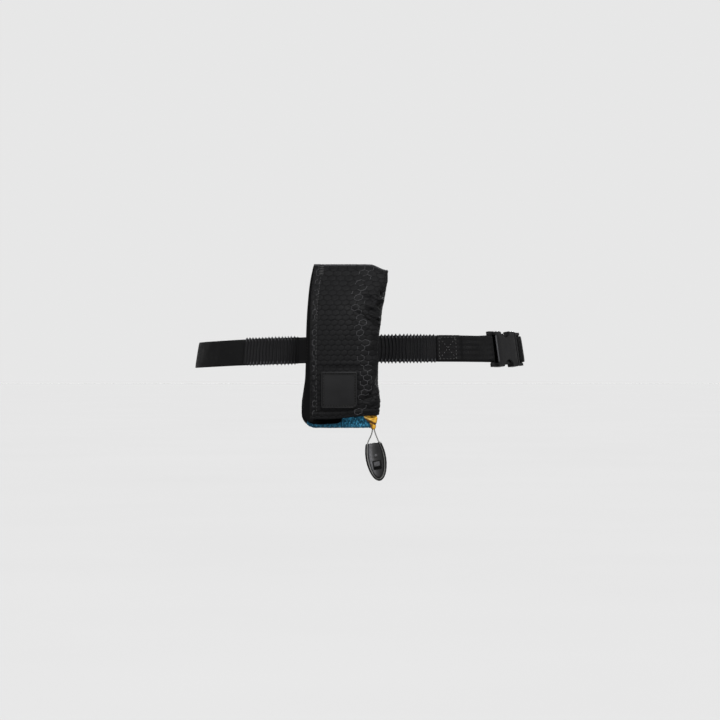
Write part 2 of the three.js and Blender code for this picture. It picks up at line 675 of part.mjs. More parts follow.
function beltTunnel() {
  const { left, right, cells, cloth, behind } = TUNNEL;
  const { underBelt, slope, tab } = TUNNEL_HEIGHT;
  const against = POUCH.backY + GAP + cloth / 2;
  const heights = [underBelt, underBelt + slope, underBelt + tab];
  const levels = [...heights.map((z) => -z).reverse(), ...heights];
  const face = (side) => (i, j) => {
    const x = lerp(left, right, i / cells);
    const y = Math.abs(levels[j]) === underBelt ? behind - waistDepth(x) : against;
    return new THREE.Vector3(x, y + side * cloth / 2, levels[j]);
  };
  return sheetSolid(cells + 1, levels.length, face(1), face(-1));
}

// Elastic: gathered in ribs where it shows, flat where the pouch and the seams hold it
function gathered(along) {
  return [ELASTIC.leftGathers, ELASTIC.rightGathers].find(({ from, to }) => along > from && along < to);
}

function elasticHeight(along) {
  const overLong = smoothstep(STRAP_LONG.end + CLIMB.overLong - along, 0, CLIMB.length);
  const intoShort = smoothstep(along - STRAP_SHORT.end + CLIMB.intoShort, 0, CLIMB.length);
  return LAYER.elastic + (LAYER.middle - LAYER.elastic) * Math.max(overLong, intoShort);
}

function elasticBand() {
  const path = [];
  let along = ELASTIC.leftEnd;
  while (along < ELASTIC.rightEnd) {
    path.push({ along, out: elasticHeight(along) });
    along += gathered(along) ? ELASTIC.pitch / ELASTIC.ribSteps : ELASTIC.flatStep / 2;
  }
  path.push({ along: ELASTIC.rightEnd, out: elasticHeight(ELASTIC.rightEnd) });
  const rib = (s) => {
    const zone = gathered(s);
    return zone ? ELASTIC.ribHeight * Math.sin((Math.PI * (s - zone.from)) / ELASTIC.pitch) ** 2 : 0;
  };
  return band(path, ELASTIC.thickness, rib);
}

// Buckle frame and the places of its two bars on the waist line
function buckleGroup() {
  const along = new THREE.Vector3(Math.cos(BUCKLE.angle), Math.sin(BUCKLE.angle), 0);
  const level = new THREE.Vector3(along.y, -along.x, 0);
  const out = level.multiplyScalar(Math.cos(BELT.lean)).setZ(Math.sin(BELT.lean));
  const up = out.clone().cross(along);
  const group = new THREE.Group();
  group.quaternion.setFromRotationMatrix(new THREE.Matrix4().makeBasis(along, up, out));
  group.position.set(BUCKLE.x, BUCKLE.y, BUCKLE.z);
  group.updateMatrixWorld();
  return group;
}

const buckle = buckleGroup();
const socketBarX = -BUCKLE_BAR.slot - BUCKLE_BAR.radius;
const clipStart = SOCKET.length + CLIP.gap;
const clipBarX = clipStart + CLIP.length - BUCKLE_BAR.radius;

function barSpot(x) {
  const point = new THREE.Vector3(x, 0, BUCKLE_BAR.z).applyMatrix4(buckle.matrixWorld);
  return waistSpot(new THREE.Vector2(point.x, point.y));
}

const strapTurn = BUCKLE_BAR.radius + BUCKLE_BAR.play + WEBBING.thickness / 2;

// Short strap: both layers leave the seam with the elastic between them and meet round the bar
function strapShort() {
  const bar = barSpot(socketBarX);
  const under = { along: bar.along, out: bar.out - strapTurn };
  const over = { along: bar.along, out: bar.out + strapTurn };
  const { end, pressedFrom, pressedTo, spread } = STRAP_SHORT;
  const { inner, outer, pressed } = LAYER;
  const open = pressedFrom - spread;
  const fine = WEBBING.step / 3;
  const path = [
    ...easedPath({ along: end, out: inner }, { along: pressedTo, out: inner }, WEBBING.step),
    ...easedPath({ along: pressedTo, out: inner }, under, fine),
    ...turnRound(bar, strapTurn, 1),
    ...easedPath(over, { along: pressedTo, out: pressed }, fine).slice(1),
    ...easedPath({ along: pressedTo, out: pressed }, { along: pressedFrom, out: pressed }, WEBBING.step),
    ...easedPath({ along: pressedFrom, out: pressed }, { along: open, out: outer }, fine),
    ...easedPath({ along: open, out: outer }, { along: end, out: outer }, WEBBING.step),
    { along: end, out: outer },
  ];
  return band(path, WEBBING.thickness);
}

// Long strap: from under the elastic's left end, round the front, about the clip's bar and back
function strapLong() {
  const spot = barSpot(clipBarX);
  const bar = { along: spot.along - waistLength, out: spot.out };
  const climb = bar.along + STRAP_LONG.climb;
  const tailEnd = bar.along + STRAP_LONG.tailLength;
  const under = { along: bar.along, out: bar.out - strapTurn };
  const over = { along: bar.along, out: bar.out + strapTurn };
  const { inner, pressed } = LAYER;
  const fine = WEBBING.step / 2;
  const path = [
    ...easedPath({ along: STRAP_LONG.end, out: inner }, { along: climb, out: inner }, WEBBING.step),
    ...easedPath({ along: climb, out: inner }, under, fine),
    ...turnRound(bar, strapTurn, -1),
    ...easedPath(over, { along: climb, out: pressed }, fine).slice(1),
    ...easedPath({ along: climb, out: pressed }, { along: tailEnd, out: pressed }, WEBBING.step),
    { along: tailEnd, out: pressed },
  ];
  return band(path, WEBBING.thickness);
}

// Bar across the strap slot, with the two rails that carry it
function barFrame(barX, bodyX, halfWidth) {
  const { radius, z, sides, railCover, railRoot } = BUCKLE_BAR;
  const bar = new THREE.CylinderGeometry(radius, radius, 2 * halfWidth, sides);
  bar.translate(barX, 0, z);
  const reach = Math.sign(bodyX - barX);
  const ends = [barX - reach * radius, bodyX + reach * railRoot].sort((a, b) => a - b);
  const foot = z - radius - railCover;
  const head = z + radius + railCover;
  const rails = [-1, 1].map((side) => {
    const edges = [side * SLOT_HALF, side * halfWidth].sort((a, b) => a - b);
    return block(...ends, ...edges, foot, head);
  });
  return [bar, ...rails];
}

// Half-round notch in the edge of the socket, or the grip of the clip that shows in it
function sideLobe(x, base, halfLength, depth, foot, head) {
  const shape = new THREE.Shape();
  shape.absellipse(x, base, halfLength, depth, 0, 2 * Math.PI, false);
  return slab(shape, foot, head);
}

function rectangle(x0, x1, y0, y1) {
  return [[x0, y0], [x1, y0], [x1, y1], [x0, y1]].map(([x, y]) => new THREE.Vector2(x, y));
}

function buckleSocket() {
  const { length, halfWidth, foot, head, bevel, cavity, notch } = SOCKET;
  const body = slab(rectangle(0, length, -halfWidth, halfWidth), foot, head, bevel);
  const notches = [-1, 1].map((side) => {
    return sideLobe(notch.x, side * halfWidth, notch.halfLength, notch.depth, foot - 1, head + 1);
  });
  const width = [-cavity.halfWidth, cavity.halfWidth];
  const hollow = block(cavity.from, length + 1, ...width, cavity.foot, cavity.head);
  return carve(body, { joins: barFrame(socketBarX, 0, halfWidth), cuts: [...notches, hollow] });
}

function buckleClip() {
  const { length, halfWidth, foot, head, bevel, arm, grip, spine } = CLIP;
  const shoulder = clipStart + CLIP.shoulder;
  const base = slab(rectangle(clipStart, shoulder, -halfWidth, halfWidth), foot, head, bevel);
  const arms = [-1, 1].flatMap((side) => {
    const edges = [side * arm.inner, side * arm.outer].sort((a, b) => a - b);
    const bar = block(arm.from, clipStart + 1, ...edges, arm.foot, arm.head);
    const depth = grip.top - grip.base;
    const lobe = sideLobe(SOCKET.notch.x, side * grip.base, grip.length / 2, depth, arm.foot, arm.head);
    return [bar, lobe];
  });
  const guide = block(spine.from, clipStart + 1, -spine.halfWidth, spine.halfWidth, arm.foot, arm.head);
  const frame = barFrame(clipStart + length - BUCKLE_BAR.radius, shoulder, halfWidth);
  return carve(base, { joins: [...arms, guide, ...frame] });
}

// Teardrop outline of the toggle, drawn in by an inset; its top edge may reach above the toggle
function teardrop(inset, reach = 0) {
  const { length, halfWidth, halfTop, widest, upperSteps, lowerSteps } = TEARDROP;
  const half = [];
  for (let k = 0; k < upperSteps; k++) {
    const t = k / upperSteps;
    const x = lerp(halfWidth, halfTop, (1 - t) ** 2);
    half.push(new THREE.Vector2(x - inset, -t * widest));
  }
  const reachDown = length - inset - widest;
  for (let k = 0; k <= lowerSteps; k++) {
    const angle = (k / lowerSteps) * Math.PI / 2;
    const x = k < lowerSteps ? (halfWidth - inset) * Math.cos(angle) : 0;
    half.push(new THREE.Vector2(x, -widest - reachDown * Math.sin(angle)));
  }
  if (reach > 0) {
    half.unshift(new THREE.Vector2(half[0].x, reach));
  }
  const mirrored = half.slice(0, -1).map((p) => new THREE.Vector2(-p.x, p.y));
  return [...mirrored, ...half.reverse()];
}

function toggleShell() {
  const body = slab(teardrop(0), SHELL.back, SHELL.front, SHELL.bevel);
  const pocket = slab(teardrop(SHELL.rim, SHELL.openTop), SHELL.floor, SHELL.front + 1);
  return carve(body, { cuts: [pocket] });
}

function togglePlate() {
  const body = slab(teardrop(PLATE.inset), PLATE.back, PLATE.front, PLATE.bevel);
  const halfWidth = WINDOW.width / 2;
  const foot = WINDOW.y - WINDOW.height / 2;
  const front = PLATE.front + 1;
  const floor = PLATE.front - WINDOW.depth;
  const recess = block(-halfWidth, halfWidth, foot, foot + WINDOW.height, floor, front);
  const slotHalf = WINDOW.slotWidth / 2;
  const slot = block(-slotHalf, slotHalf, foot, foot + WINDOW.slotHeight, PLATE.back - 1, front);
  const pin = new THREE.CylinderGeometry(PIN.topRadius, PIN.radius, PIN.height + 1, PIN.sides);
  pin.rotateX(Math.PI / 2).translate(0, PIN.y, PLATE.front + (PIN.height - 1) / 2);
  return carve(body, { joins: [pin], cuts: [recess, slot] });
}

function pullCord() {
  const section = new THREE.Shape();
  for (let k = 0; k < CORD.sides; k++) {
    const angle = (2 * Math.PI * k) / CORD.sides;
    const spot = [CORD.diameter / 2 * Math.cos(angle), CORD.diameter / 2 * Math.sin(angle)];
    if (k === 0) {
      section.moveTo(...spot);
    } else {
      section.lineTo(...spot);
    }
  }
  const route = new THREE.CatmullRomCurve3(CORD_ROUTE.map(({ x, z }) => new THREE.Vector3(x, CORD.y, z)));
  return new THREE.ExtrudeGeometry(section, { steps: CORD.steps, extrudePath: route });
}

const toggle = new THREE.Group();
toggle.position.set(TOGGLE.x, TOGGLE.y, TOGGLE.z);
toggle.quaternion.setFromEuler(new THREE.Euler(Math.PI / 2, -TOGGLE.tilt, 0, "YXZ"));
toggle.add(piece("toggle_shell", toggleShell(), "plastic"));
toggle.add(piece("toggle_plate", togglePlate(), "plastic"));

buckle.add(piece("buckle_socket", buckleSocket(), "plastic"));
buckle.add(piece("buckle_clip", buckleClip(), "plastic"));

const pack = new THREE.Group();
pack.add(piece("pouch_front", pouchFront(), "ripstop"));
pack.add(piece("pouch_back", pouchBack(), "plainCloth"));
pack.add(piece("pouch_side", pouchSide(), "plainCloth"));
pack.add(piece("lining_flap", liningFlap(), "lining"));
pack.add(piece("bladder", bladder(), "bladder"));
pack.add(piece("patch", patch(), "rubber"));
pack.add(piece("belt_tunnel", beltTunnel(), "webbing"));
pack.add(piece("elastic_band", elasticBand(), "webbing"));
pack.add(piece("strap_short", strapShort(), "webbing"));
pack.add(piece("strap_long", strapLong(), "webbing"));
pack.add(piece("pull_cord", pullCord(), "cord"));
pack.add(buckle, toggle);

export default pack;
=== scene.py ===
"""Dresses an inflatable belt pack: its cloth, webbing, plastic and cord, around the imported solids."""
import math

import bpy
import numpy as np
from bpy.props import FloatProperty, FloatVectorProperty, PointerProperty
from bpy.types import Operator, Panel, PropertyGroup
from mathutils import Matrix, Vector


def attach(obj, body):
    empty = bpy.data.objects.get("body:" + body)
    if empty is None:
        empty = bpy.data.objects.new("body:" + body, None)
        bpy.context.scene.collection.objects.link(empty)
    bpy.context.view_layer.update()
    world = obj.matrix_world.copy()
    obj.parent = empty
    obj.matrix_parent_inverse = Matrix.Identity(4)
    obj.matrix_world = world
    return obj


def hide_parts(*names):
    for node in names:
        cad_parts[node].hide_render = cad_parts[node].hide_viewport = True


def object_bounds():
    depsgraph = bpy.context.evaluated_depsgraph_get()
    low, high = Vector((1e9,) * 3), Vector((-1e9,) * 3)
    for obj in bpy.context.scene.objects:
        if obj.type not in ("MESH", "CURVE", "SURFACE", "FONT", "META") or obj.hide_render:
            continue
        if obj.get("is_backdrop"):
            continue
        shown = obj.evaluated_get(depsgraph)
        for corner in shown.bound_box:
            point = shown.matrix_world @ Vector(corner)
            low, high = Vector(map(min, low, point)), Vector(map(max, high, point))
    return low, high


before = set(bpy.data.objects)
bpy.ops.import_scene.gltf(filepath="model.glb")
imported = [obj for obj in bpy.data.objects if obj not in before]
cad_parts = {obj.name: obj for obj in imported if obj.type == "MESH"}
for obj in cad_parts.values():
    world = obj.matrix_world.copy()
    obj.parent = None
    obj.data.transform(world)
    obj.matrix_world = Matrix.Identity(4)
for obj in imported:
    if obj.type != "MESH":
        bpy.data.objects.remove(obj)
cad_box = [list(corner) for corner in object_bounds()]

bl_info = {
    "name": "Inflatable belt pack",
    "version": (1, 0, 0),
    "blender": (4, 5, 0),
    "location": "3D View > Sidebar > Belt pack",
    "description": "Makes the cloth, webbing, plastic and cord of an inflatable belt pack",
    "category": "Object",
}

MM = 0.001

# Belt: an oval round the waist, in millimetres as all sizes below
WAIST = {"half_width": 158, "half_depth": 113, "squareness": 2.35, "steps": 1440}
BELT = {"half_height": 12.5, "roll": 2.5, "sag": 3.5, "lean": math.radians(9)}
LEAN_RANGE = (35, 120)
ELASTIC = {"thickness": 1.6, "left": -111, "right": 96, "step": 0.35, "rows": 27}
# Ribbed stretches of the elastic: from, to, pitch and height of the ribs
GATHERS = ((-110.5, -56, 3.3, 1.25), (15, 66, 3.5, 1.5), (66, 77, 3.4, 1.25))
LAYER = {"inner": 0.75, "middle": 2.75, "outer": 4.75, "elastic": 1.3, "pressed": 2.7}
STRAP_SHORT = {"end": 77, "pressed_from": 104, "pressed_to": 121, "spread": 5}
STRAP_LONG = {"end": -84, "climb": 34, "tail": 68}
BAR = {"radius": 1.4, "z": 3.3, "slot": 4.8, "play": 0.35}

# Pouch: z, left, right, depth, corner radius and crown of each level
POUCH_BACK_Y = -117
POUCH_LEVELS = (
    (-66.4, -43.8, 20.8, 32.0, 9.0, 1.0),
    (-55.0, -43.9, 22.2, 34.5, 10.0, 2.0),
    (-44.0, -43.8, 21.6, 36.5, 11.0, 2.6),
    (-34.0, -43.8, 20.4, 38.0, 12.0, 3.0),
    (-14.0, -43.8, 20.5, 39.0, 13.0, 3.2),
    (10.0, -43.8, 20.8, 38.0, 13.0, 3.2),
    (22.0, -43.7, 22.6, 36.0, 12.0, 3.0),
    (38.0, -43.4, 24.4, 31.0, 11.0, 2.8),
    (50.0, -43.0, 26.6, 25.0, 9.0, 2.4),
    (63.0, -41.8, 28.6, 16.0, 6.0, 1.4),
    (73.0, -41.0, 29.6, 8.6, 3.0, 0.4),
    (81.0, -40.6, 29.4, 5.2, 1.8, 0.0),
)
LEFT, RIGHT, DEPTH, CORNER, CROWN = range(1, 6)
POUCH_TOP = (5.5, 12, 29)
POUCH_FOOT = (3.8, -30, 20)
EDGE_FADE = 6
POUCH_GRID = {"front": 104, "corner": 36, "side": 38, "rows": 232}
# Folds of the front: x, z, angle, length, width and depth
FOLDS = (
    (12.0, 47.0, -10, 20, 6, 2.2),
    (23.0, 41.0, -40, 14, 6, 2.2),
    (17.0, 35.0, -15, 20, 5, 2.2),
    (7.5, 29.0, -33, 34, 6, 2.4),
    (-25.0, 36.0, 0, 30, 8, 0.7),
    (-13.0, -18.5, 0, 64, 5, 0.9),
    (18.0, -38.0, 62, 20, 5, 2.6),
    (12.0, -48.0, 14, 18, 6, 1.9),
    (26.0, 60.0, -70, 16, 7, 1.5),
)
# Hollows of the right flank under the flared top: z, half height and depth
FLANK_HOLLOWS = ((54.0, 3.8, 5.2), (40.5, 4.0, 2.6), (28.0, 4.0, 1.0), (-31.0, 7.0, 1.2))
# Sharp creases between the folds, in the columns of the folds
CREASES = (
    (20.0, 37.5, -32, 13, 2.2, 1.0),
    (15.0, 29.5, -22, 17, 2.4, 1.2),
    (21.0, 27.0, -48, 12, 2.2, 1.0),
    (9.0, 33.5, -38, 11, 2.0, 0.7),
    (19.5, 50.5, -20, 13, 2.4, 0.9),
    (24.0, 55.0, -58, 13, 2.4, 0.9),
    (13.5, 18.0, -16, 15, 2.4, 0.6),
    (16.0, -34.5, 48, 12, 2.2, 0.9),
    (17.5, -46.5, 24, 12, 2.2, 0.9),
    (9.0, -52.0, -12, 13, 2.2, 0.8),
    (16.0, -57.0, 20, 11, 2.0, 0.8),
    (6.0, -44.0, 34, 9, 1.8, 0.5),
)
# Cloth that settles: units of the simulation per millimetre, room for folds and the cloth's own values
CLOTH_SCALE = 0.02
FOLD_ROOM = 3.2
FLANK_ROOM = 1.6
CLOTH = {
    "quality": 5, "mass": 0.3, "tension_stiffness": 40, "compression_stiffness": 40,
    "shear_stiffness": 8, "bending_stiffness": 3, "bending_damping": 0.5, "air_damping": 2,
}
WALL = {"thickness_outer": 0.01, "cloth_friction": 5}
CLOTH_GAP = 0.012
# Middle of the run of bright threads, by height
BRIGHT_RUN = (
    (-66, 4.5), (-55, 4.0), (-45, 5.5), (-34, 9.0), (-27, 7.5), (-20, 9.5), (-11, 5.5),
    (4, 7.0), (8, 4.0), (17, 5.5), (27, 1.5), (34, -2.0), (40, 0.5), (48, 1.5), (56, 4.0),
    (64, 7.0), (70, 10.0), (80, 11.0),
)
CHAIN = {"spacing": 46.4, "gaps": 0.2, "radius": 0.155}
# Narrower run of bright threads on the left hem, with its seam's pitch and place
HEM_RUN = {"middle": 2.7, "width": 3.6, "gaps": 0.5, "radius": 0.11}
HEM_PITCH = 3.2
HEM_LINE = 5.8
# Widths of the front's edges that are sewn down, and the half sizes of what the patch holds flat
SEWN = {"left": 6.5, "foot": 5.5, "head": 4, "right": 3}
PATCH_HOLD = (18, 18.3)
CELL_LEAN = 0.06
# Corners of a cell, as shares of its width and of the pitch of the rows
CELL_CORNERS = ((0, 2 / 3), (0.5, 1 / 3), (0.5, -1 / 3), (0, -2 / 3), (-0.5, -1 / 3), (-0.5, 1 / 3))

# Left outline of the pouch's back: z and x
BACK_LEFT = (
    (-75.0, -52.2), (-52.0, -52.2), (-40.0, -50.6), (-26.0, -48.8),
    (15.0, -47.9), (40.0, -46.7), (63.0, -44.4), (80.6, -40.8),
)
BACK = {"foot": -75, "head": 80.6, "left_radius": 13, "right_radius": 6, "thickness": 2.5, "room": 2.3}
SIDE = {"cloth": 1.4, "radius": 6, "share": 0.6, "set_back": 0.6, "room": 3.0, "head": 73, "over_flap": 4.6}
SIDE_TUCK = {"width": 10, "rise": 6.5}
GAP = 0.4

# Lining flap: x and height of its front lip, and where the lip steps up to the tab
FLAP = {"cloth": 1.1, "foot": -75.2, "back_rise": 2.6, "reach": 22.6, "bend": 3, "left": -47.2, "right": 13}
FLAP_LIP = (
    (-47.2, 3.2), (-30.0, 3.4), (-14.6, 5.6), (-14.0, 12.5), (5.0, 12.5), (6.5, 11.0), (13.0, 3.2),
)
FLAP_STEP = (-14.6, -14.3, -14.0)
BLADDER = {"cloth": 0.9, "layers": 6, "foot": -57, "head": 46, "side": 11.6, "front": 10.4, "back": 2}
BLADDER_SWELL = 0.12
# Corner of the bladder that hangs out: z, left and right edge, and the line of its fold
BLADDER_CORNER = (
    (-75.4, 14.0, 17.0, 15.4), (-72.0, 13.3, 17.4, 15.2), (-70.4, 12.2, 17.9, 14.8),
    (-67.8, 9.4, 18.4, 13.8), (-64.6, 7.0, 18.9, 12.6), (-61.4, 5.8, 15.6, 11.0),
    (-54.0, 5.0, 14.8, 10.0),
)
CORNER_SPAN = (-75.2, -54.2)
CORNER_FRONT, CORNER_BACK = -145.6, -143.4
CORNER_RIDGE = -147.0
# Tab at the corner's tip: its heights, and its middle at its foot and head
TAB_SPAN = (-76.2, -69.6)
TAB_MIDDLE = (15.6, 14.6)
# Pleat across the corner: its slope, its step, and where the painted highlight on its edge and the painted
# shade under it come and go
PLEAT_SLOPE = 0.43
PLEAT_STEP = (-62.9, -62.3)
PLEAT_LIT = (-62.5, -62.1, -61.4, -60.6)
PLEAT_SHADE = (-65.4, -64.8, -62.9, -62.4)
# Other places of the corner with painted shade: the tab's left side, the tuck by the pleat, the strip over
# it under the hem, the crease
TAB_SHADE = {"across": (14.3, 15.1), "up": (-71.8, -71.2)}
TUCK = {"spot": (14.4, -64.8, 0), "reach": (0.5, 1.2)}
HEM_SHADOW_FOOT = (-64.2, -63.4)
CREASE = {"slope": 0.35, "level": -65.5, "reach": (0.25, 0.8)}

PATCH = {"left": -33.7, "right": 0.2, "foot": -56.3, "head": -21.8, "radii": (1.4, 5.0, 1.8, 1.4)}
TUNNEL = {"left": -34, "right": 9, "cloth": 1.2, "under": 15.5, "slope": 3, "tab": 12, "behind": 0.9}
# Rows of stitches on the tunnel's tabs, by height, and the crossed box on the short strap
TUNNEL_ROWS = (-25, -20.5, 20.5, 25)
BOX_SEAM = {"left": 78.6, "right": 95.5, "half": 10.4}

# Buckle, flat in its own frame: x along the belt, y up, z out
BUCKLE_PLACE = (130.4, -73.4, -0.6)
BUCKLE_ANGLE = math.radians(57)
SOCKET = {"length": 39, "half": 17.4, "foot": 0.5, "head": 8}
CAVITY = {"start": 5, "half": 13.3, "foot": 2.3, "head": 6.2}
NOTCH = {"x": 19.5, "half_length": 8.4, "depth": 6.6}
CLIP = {"start": 39.5, "shoulder": 3.6, "length": 11.5, "half": 16.4, "foot": 1.6, "head": 5.8}
ARM = {"start": 12, "inner": 8.6, "outer": 12.7, "foot": 2.7, "head": 5.8}
GRIP = {"base": 11.2, "top": 15.4, "half_length": 5.5}
SLOT_HALF = 13.8
SHARP_ANGLE = math.radians(40)

# Toggle, in its own frame: x across, y up its axis, z out to the front
TOGGLE_PLACE = (15.6, -144, -89.5)
TOGGLE_TILT = math.radians(10)
TEARDROP_EDGE = 11
TEARDROP = {"length": 36.5, "half": 9.8, "top": 7.4, "widest": 14}
WINDOW = {"y": -21.2, "half_width": 4.3, "half_height": 4.4, "depth": 3.0, "slot_half": 3.5, "slot": 2.8}
# Plate of the toggle: its pin, and the line of the side that carries a painted highlight
PIN = {"y": -12.2, "sides": 24}
TOGGLE_LEAN = 0.18
HIGHLIGHT_SIDE = (-6.4, -1.6)
# Painted highlights on the plate, on its pin and on its tab: x, z and reach
HIGHLIGHT_SPOTS = ((18.0, -101.2, 1.7), (19.2, -109.2, 3.3))

# Cord: x and z of its route, from the bladder's corner round the toggle and back
CORD_Y = -144.5
CORD_ROUTE = (
    (14.9, -75.9), (14.6, -78.5), (13.8, -81.5), (12.5, -84.6), (11.0, -87.6), (10.2, -90.5),
    (9.8, -94.0), (9.7, -98.5), (10.3, -104.6), (11.7, -110.5), (13.4, -115.3), (15.9, -119.8),
    (18.8, -122.8), (21.6, -123.6), (24.0, -122.0), (25.7, -118.2), (26.5, -113.0), (26.4, -107.0),
    (25.8, -102.0), (24.3, -96.1), (22.6, -91.8), (20.9, -88.4), (19.2, -84.6), (17.7, -80.6),
    (16.8, -77.8), (16.5, -75.9),
)

CAMERA = {"place": (0.003, -3.0, -0.0106), "lens": 150.15, "sensor": 36, "far": 100}
# Lights: kind, energy, angle of a sun in degrees or size of a lamp in metres, and place
LIGHTS = {
    "key": ("SUN", 7.6, 14, (1.5, -2.9, 3.4)),
    "back": ("SUN", 6, 24, (0.5, 3.4, 2.2)),
    "fill": ("AREA", 150, 2, (-2.6, -3.4, 0.25)),
}
WORLD_LIGHT = 0.8
FLOOR = {"z": -0.5, "reach": 60}


def length(name, description, millimetres):
    return FloatProperty(
        name=name, description=description, default=millimetres * MM, min=0, precision=5, unit="LENGTH"
    )


def colour(name, description, rgb):
    return FloatVectorProperty(
        name=name, description=description, default=rgb, size=3, min=0, max=1, subtype="COLOR"
    )


class BeltPackSizes(PropertyGroup):
    """Sizes of the cloth, threads and cord"""

    front_cloth: length("Front cloth", "Thickness of the pouch's front cloth", 1.2)
    cell_width: length("Cell width", "Width of a cell of the ripstop pattern", 7.0)
    cell_pitch: length("Cell pitch", "Distance between two rows of ripstop cells", 4.8)
    cell_puff: length("Cell puff", "Height of a ripstop cell's middle over its outline", 0.28)
    slack: FloatProperty(
        name="Slack",
        description="Extra height of the cloth on the right of the pouch",
        default=0.42,
        min=0,
        max=1,
    )
    stitch: length("Stitch", "Length of one stitch of a seam", 1.7)
    thread: length("Thread", "Thickness of the sewing thread", 0.5)
    webbing: length("Webbing", "Thickness of the belt's webbing", 1.5)
    cord: length("Cord", "Thickness of the pull cord", 1.2)


class BeltPackColours(PropertyGroup):
    """Colours of the finishes"""

    ripstop: colour("Ripstop", "Ground of the pouch's front", (0.0030, 0.0030, 0.0032))
    bright_thread: colour("Bright thread", "Bright threads of the ripstop", (0.037, 0.037, 0.039))
    plain_cloth: colour("Plain cloth", "Side and back of the pouch", (0.0065, 0.0065, 0.0068))
    lining: colour("Lining", "Lining flap", (0.011, 0.062, 0.104))
    bladder: colour("Bladder", "Coated cloth of the bladder", (0.15, 0.080, 0.006))
    rubber: colour("Rubber", "Patch on the front", (0.0052, 0.0052, 0.0055))
    webbing: colour("Webbing", "Belt webbing and elastic", (0.0023, 0.0023, 0.0025))
    seam_thread: colour("Seam thread", "Sewing thread", (0.022, 0.022, 0.022))
    plastic: colour("Plastic", "Buckle and toggle", (0.0026, 0.0026, 0.0028))
    cord: colour("Cord", "Pull cord", (0.13, 0.13, 0.125))
    floor: colour("Floor", "Floor of the stage", (0.222, 0.222, 0.222))


# Shapes shared by the pieces


def smoothstep(low, high, value):
    t = np.clip((np.asarray(value, float) - low) / (high - low), 0, 1)
    return t * t * (3 - 2 * t)


def mix(a, b, t):
    return a + (b - a) * t


def bell(value, middle, width):
    """1 at the middle, fading to both sides of it."""
    return np.exp(-(((value - middle) / width) ** 2))


def stacked(*columns):
    """Columns of coordinates as one array of points."""
    return np.stack(np.broadcast_arrays(*columns), -1)


def travel(points):
    """Distance along a line of points, at each of them."""
    return np.r_[0, np.cumsum(np.linalg.norm(np.diff(points, axis=0), axis=1))]


def through(keys, values, at):
    """Values on a smooth curve through rows of values that are given at increasing keys."""
    hi = np.clip(np.searchsorted(keys, at, side="right"), 1, len(keys) - 1)
    lo = hi - 1
    before, after = np.maximum(lo - 1, 0), np.minimum(hi + 1, len(keys) - 1)
    wide = lambda factor: np.reshape(factor, np.shape(factor) + (1,) * (values.ndim - 1))
    span = keys[hi] - keys[lo]
    start = (values[hi] - values[before]) * wide(span / (keys[hi] - keys[before]))
    end = (values[after] - values[lo]) * wide(span / (keys[after] - keys[lo]))
    t = wide(np.clip((at - keys[lo]) / span, 0, 1))
    share = 3 * t**2 - 2 * t**3
    return mix(values[lo], values[hi], share) + (t**3 - 2 * t**2 + t) * start + (t**3 - t**2) * end


def curve_at(rows, column, value):
    """A table's column on a smooth curve through its rows, by the value of column 0."""
    table = np.asarray(rows, float)
    return through(table[:, 0], table[:, column], value)


def pouch_level(z, *columns):
    """Columns of the pouch's levels at each height."""
    return [curve_at(POUCH_LEVELS, column, z) for column in columns]


def soft_noise(x, y, seed):
    """Smooth noise between -1 and 1 on a seeded lattice of unit cells."""
    lattice = np.random.default_rng(seed).uniform(-1, 1, (64, 64))
    left, low = np.floor(x).astype(int), np.floor(y).astype(int)
    across, up = smoothstep(0, 1, x - left), smoothstep(0, 1, y - low)
    corner = lambda i, j: lattice[(left + i) % 64, (low + j) % 64]
    return mix(mix(corner(0, 0), corner(1, 0), across), mix(corner(0, 1), corner(1, 1), across), up)


def unit(vectors):
    return vectors / np.maximum(np.linalg.norm(vectors, axis=-1, keepdims=True), 1e-9)


def grid_normals(points):
    return unit(np.cross(np.gradient(points, axis=0), np.gradient(points, axis=1)))


def grid_faces(columns, rows, first=0):
    i, j = np.meshgrid(np.arange(columns - 1), np.arange(rows - 1), indexing="ij")
    a = (first + i * rows + j).ravel()
    return np.stack([a, a + rows, a + rows + 1, a + 1], 1)


def facing_out(points, faces):
    """The faces turned so that the closed mesh has a positive volume."""
    total = 0.0
    for k in range(1, faces.shape[1] - 1):
        a, b, c = (points[faces[:, n]] for n in (0, k, k + 1))
        total += np.einsum("ij,ij->i", a, np.cross(b, c)).sum()
    return faces if total > 0 else faces[:, ::-1]


def shell(outer, inner, cloth, bulge=0.35):
    """Closed sheet between two grids of points, its rim rounded. Returns points, faces, cloth places."""
    columns, rows = outer.shape[:2]
    across, upward = np.arange(columns), np.arange(1, rows - 1)
    i = np.r_[across, np.full(rows - 2, columns - 1), across[::-1], np.zeros(rows - 2, int)]
    j = np.r_[np.zeros(columns, int), upward, np.full(columns, rows - 1), upward[::-1]]
    within = np.clip(i, 1, columns - 2), np.clip(j, 1, rows - 2)
    away = unit(outer[i, j] - outer[within])
    thick = np.linalg.norm(outer[i, j] - inner[i, j], axis=1, keepdims=True)
    rim = (outer[i, j] + inner[i, j]) / 2 + away * thick * bulge
    count = columns * rows
    points = np.concatenate([outer.reshape(-1, 3), inner.reshape(-1, 3), rim])
    ring = i * rows + j
    after = np.roll(ring, -1)
    middle = 2 * count + np.arange(len(ring))
    middle_after = np.roll(middle, -1)
    faces = np.concatenate([
        grid_faces(columns, rows),
        grid_faces(columns, rows, count)[:, ::-1],
        np.stack([after, ring, middle, middle_after], 1),
        np.stack([middle_after, middle, ring + count, after + count], 1),
    ])
    flat = cloth.reshape(count, -1)
    places = np.concatenate([flat, flat, cloth[i, j]])
    return points, facing_out(points, faces), places


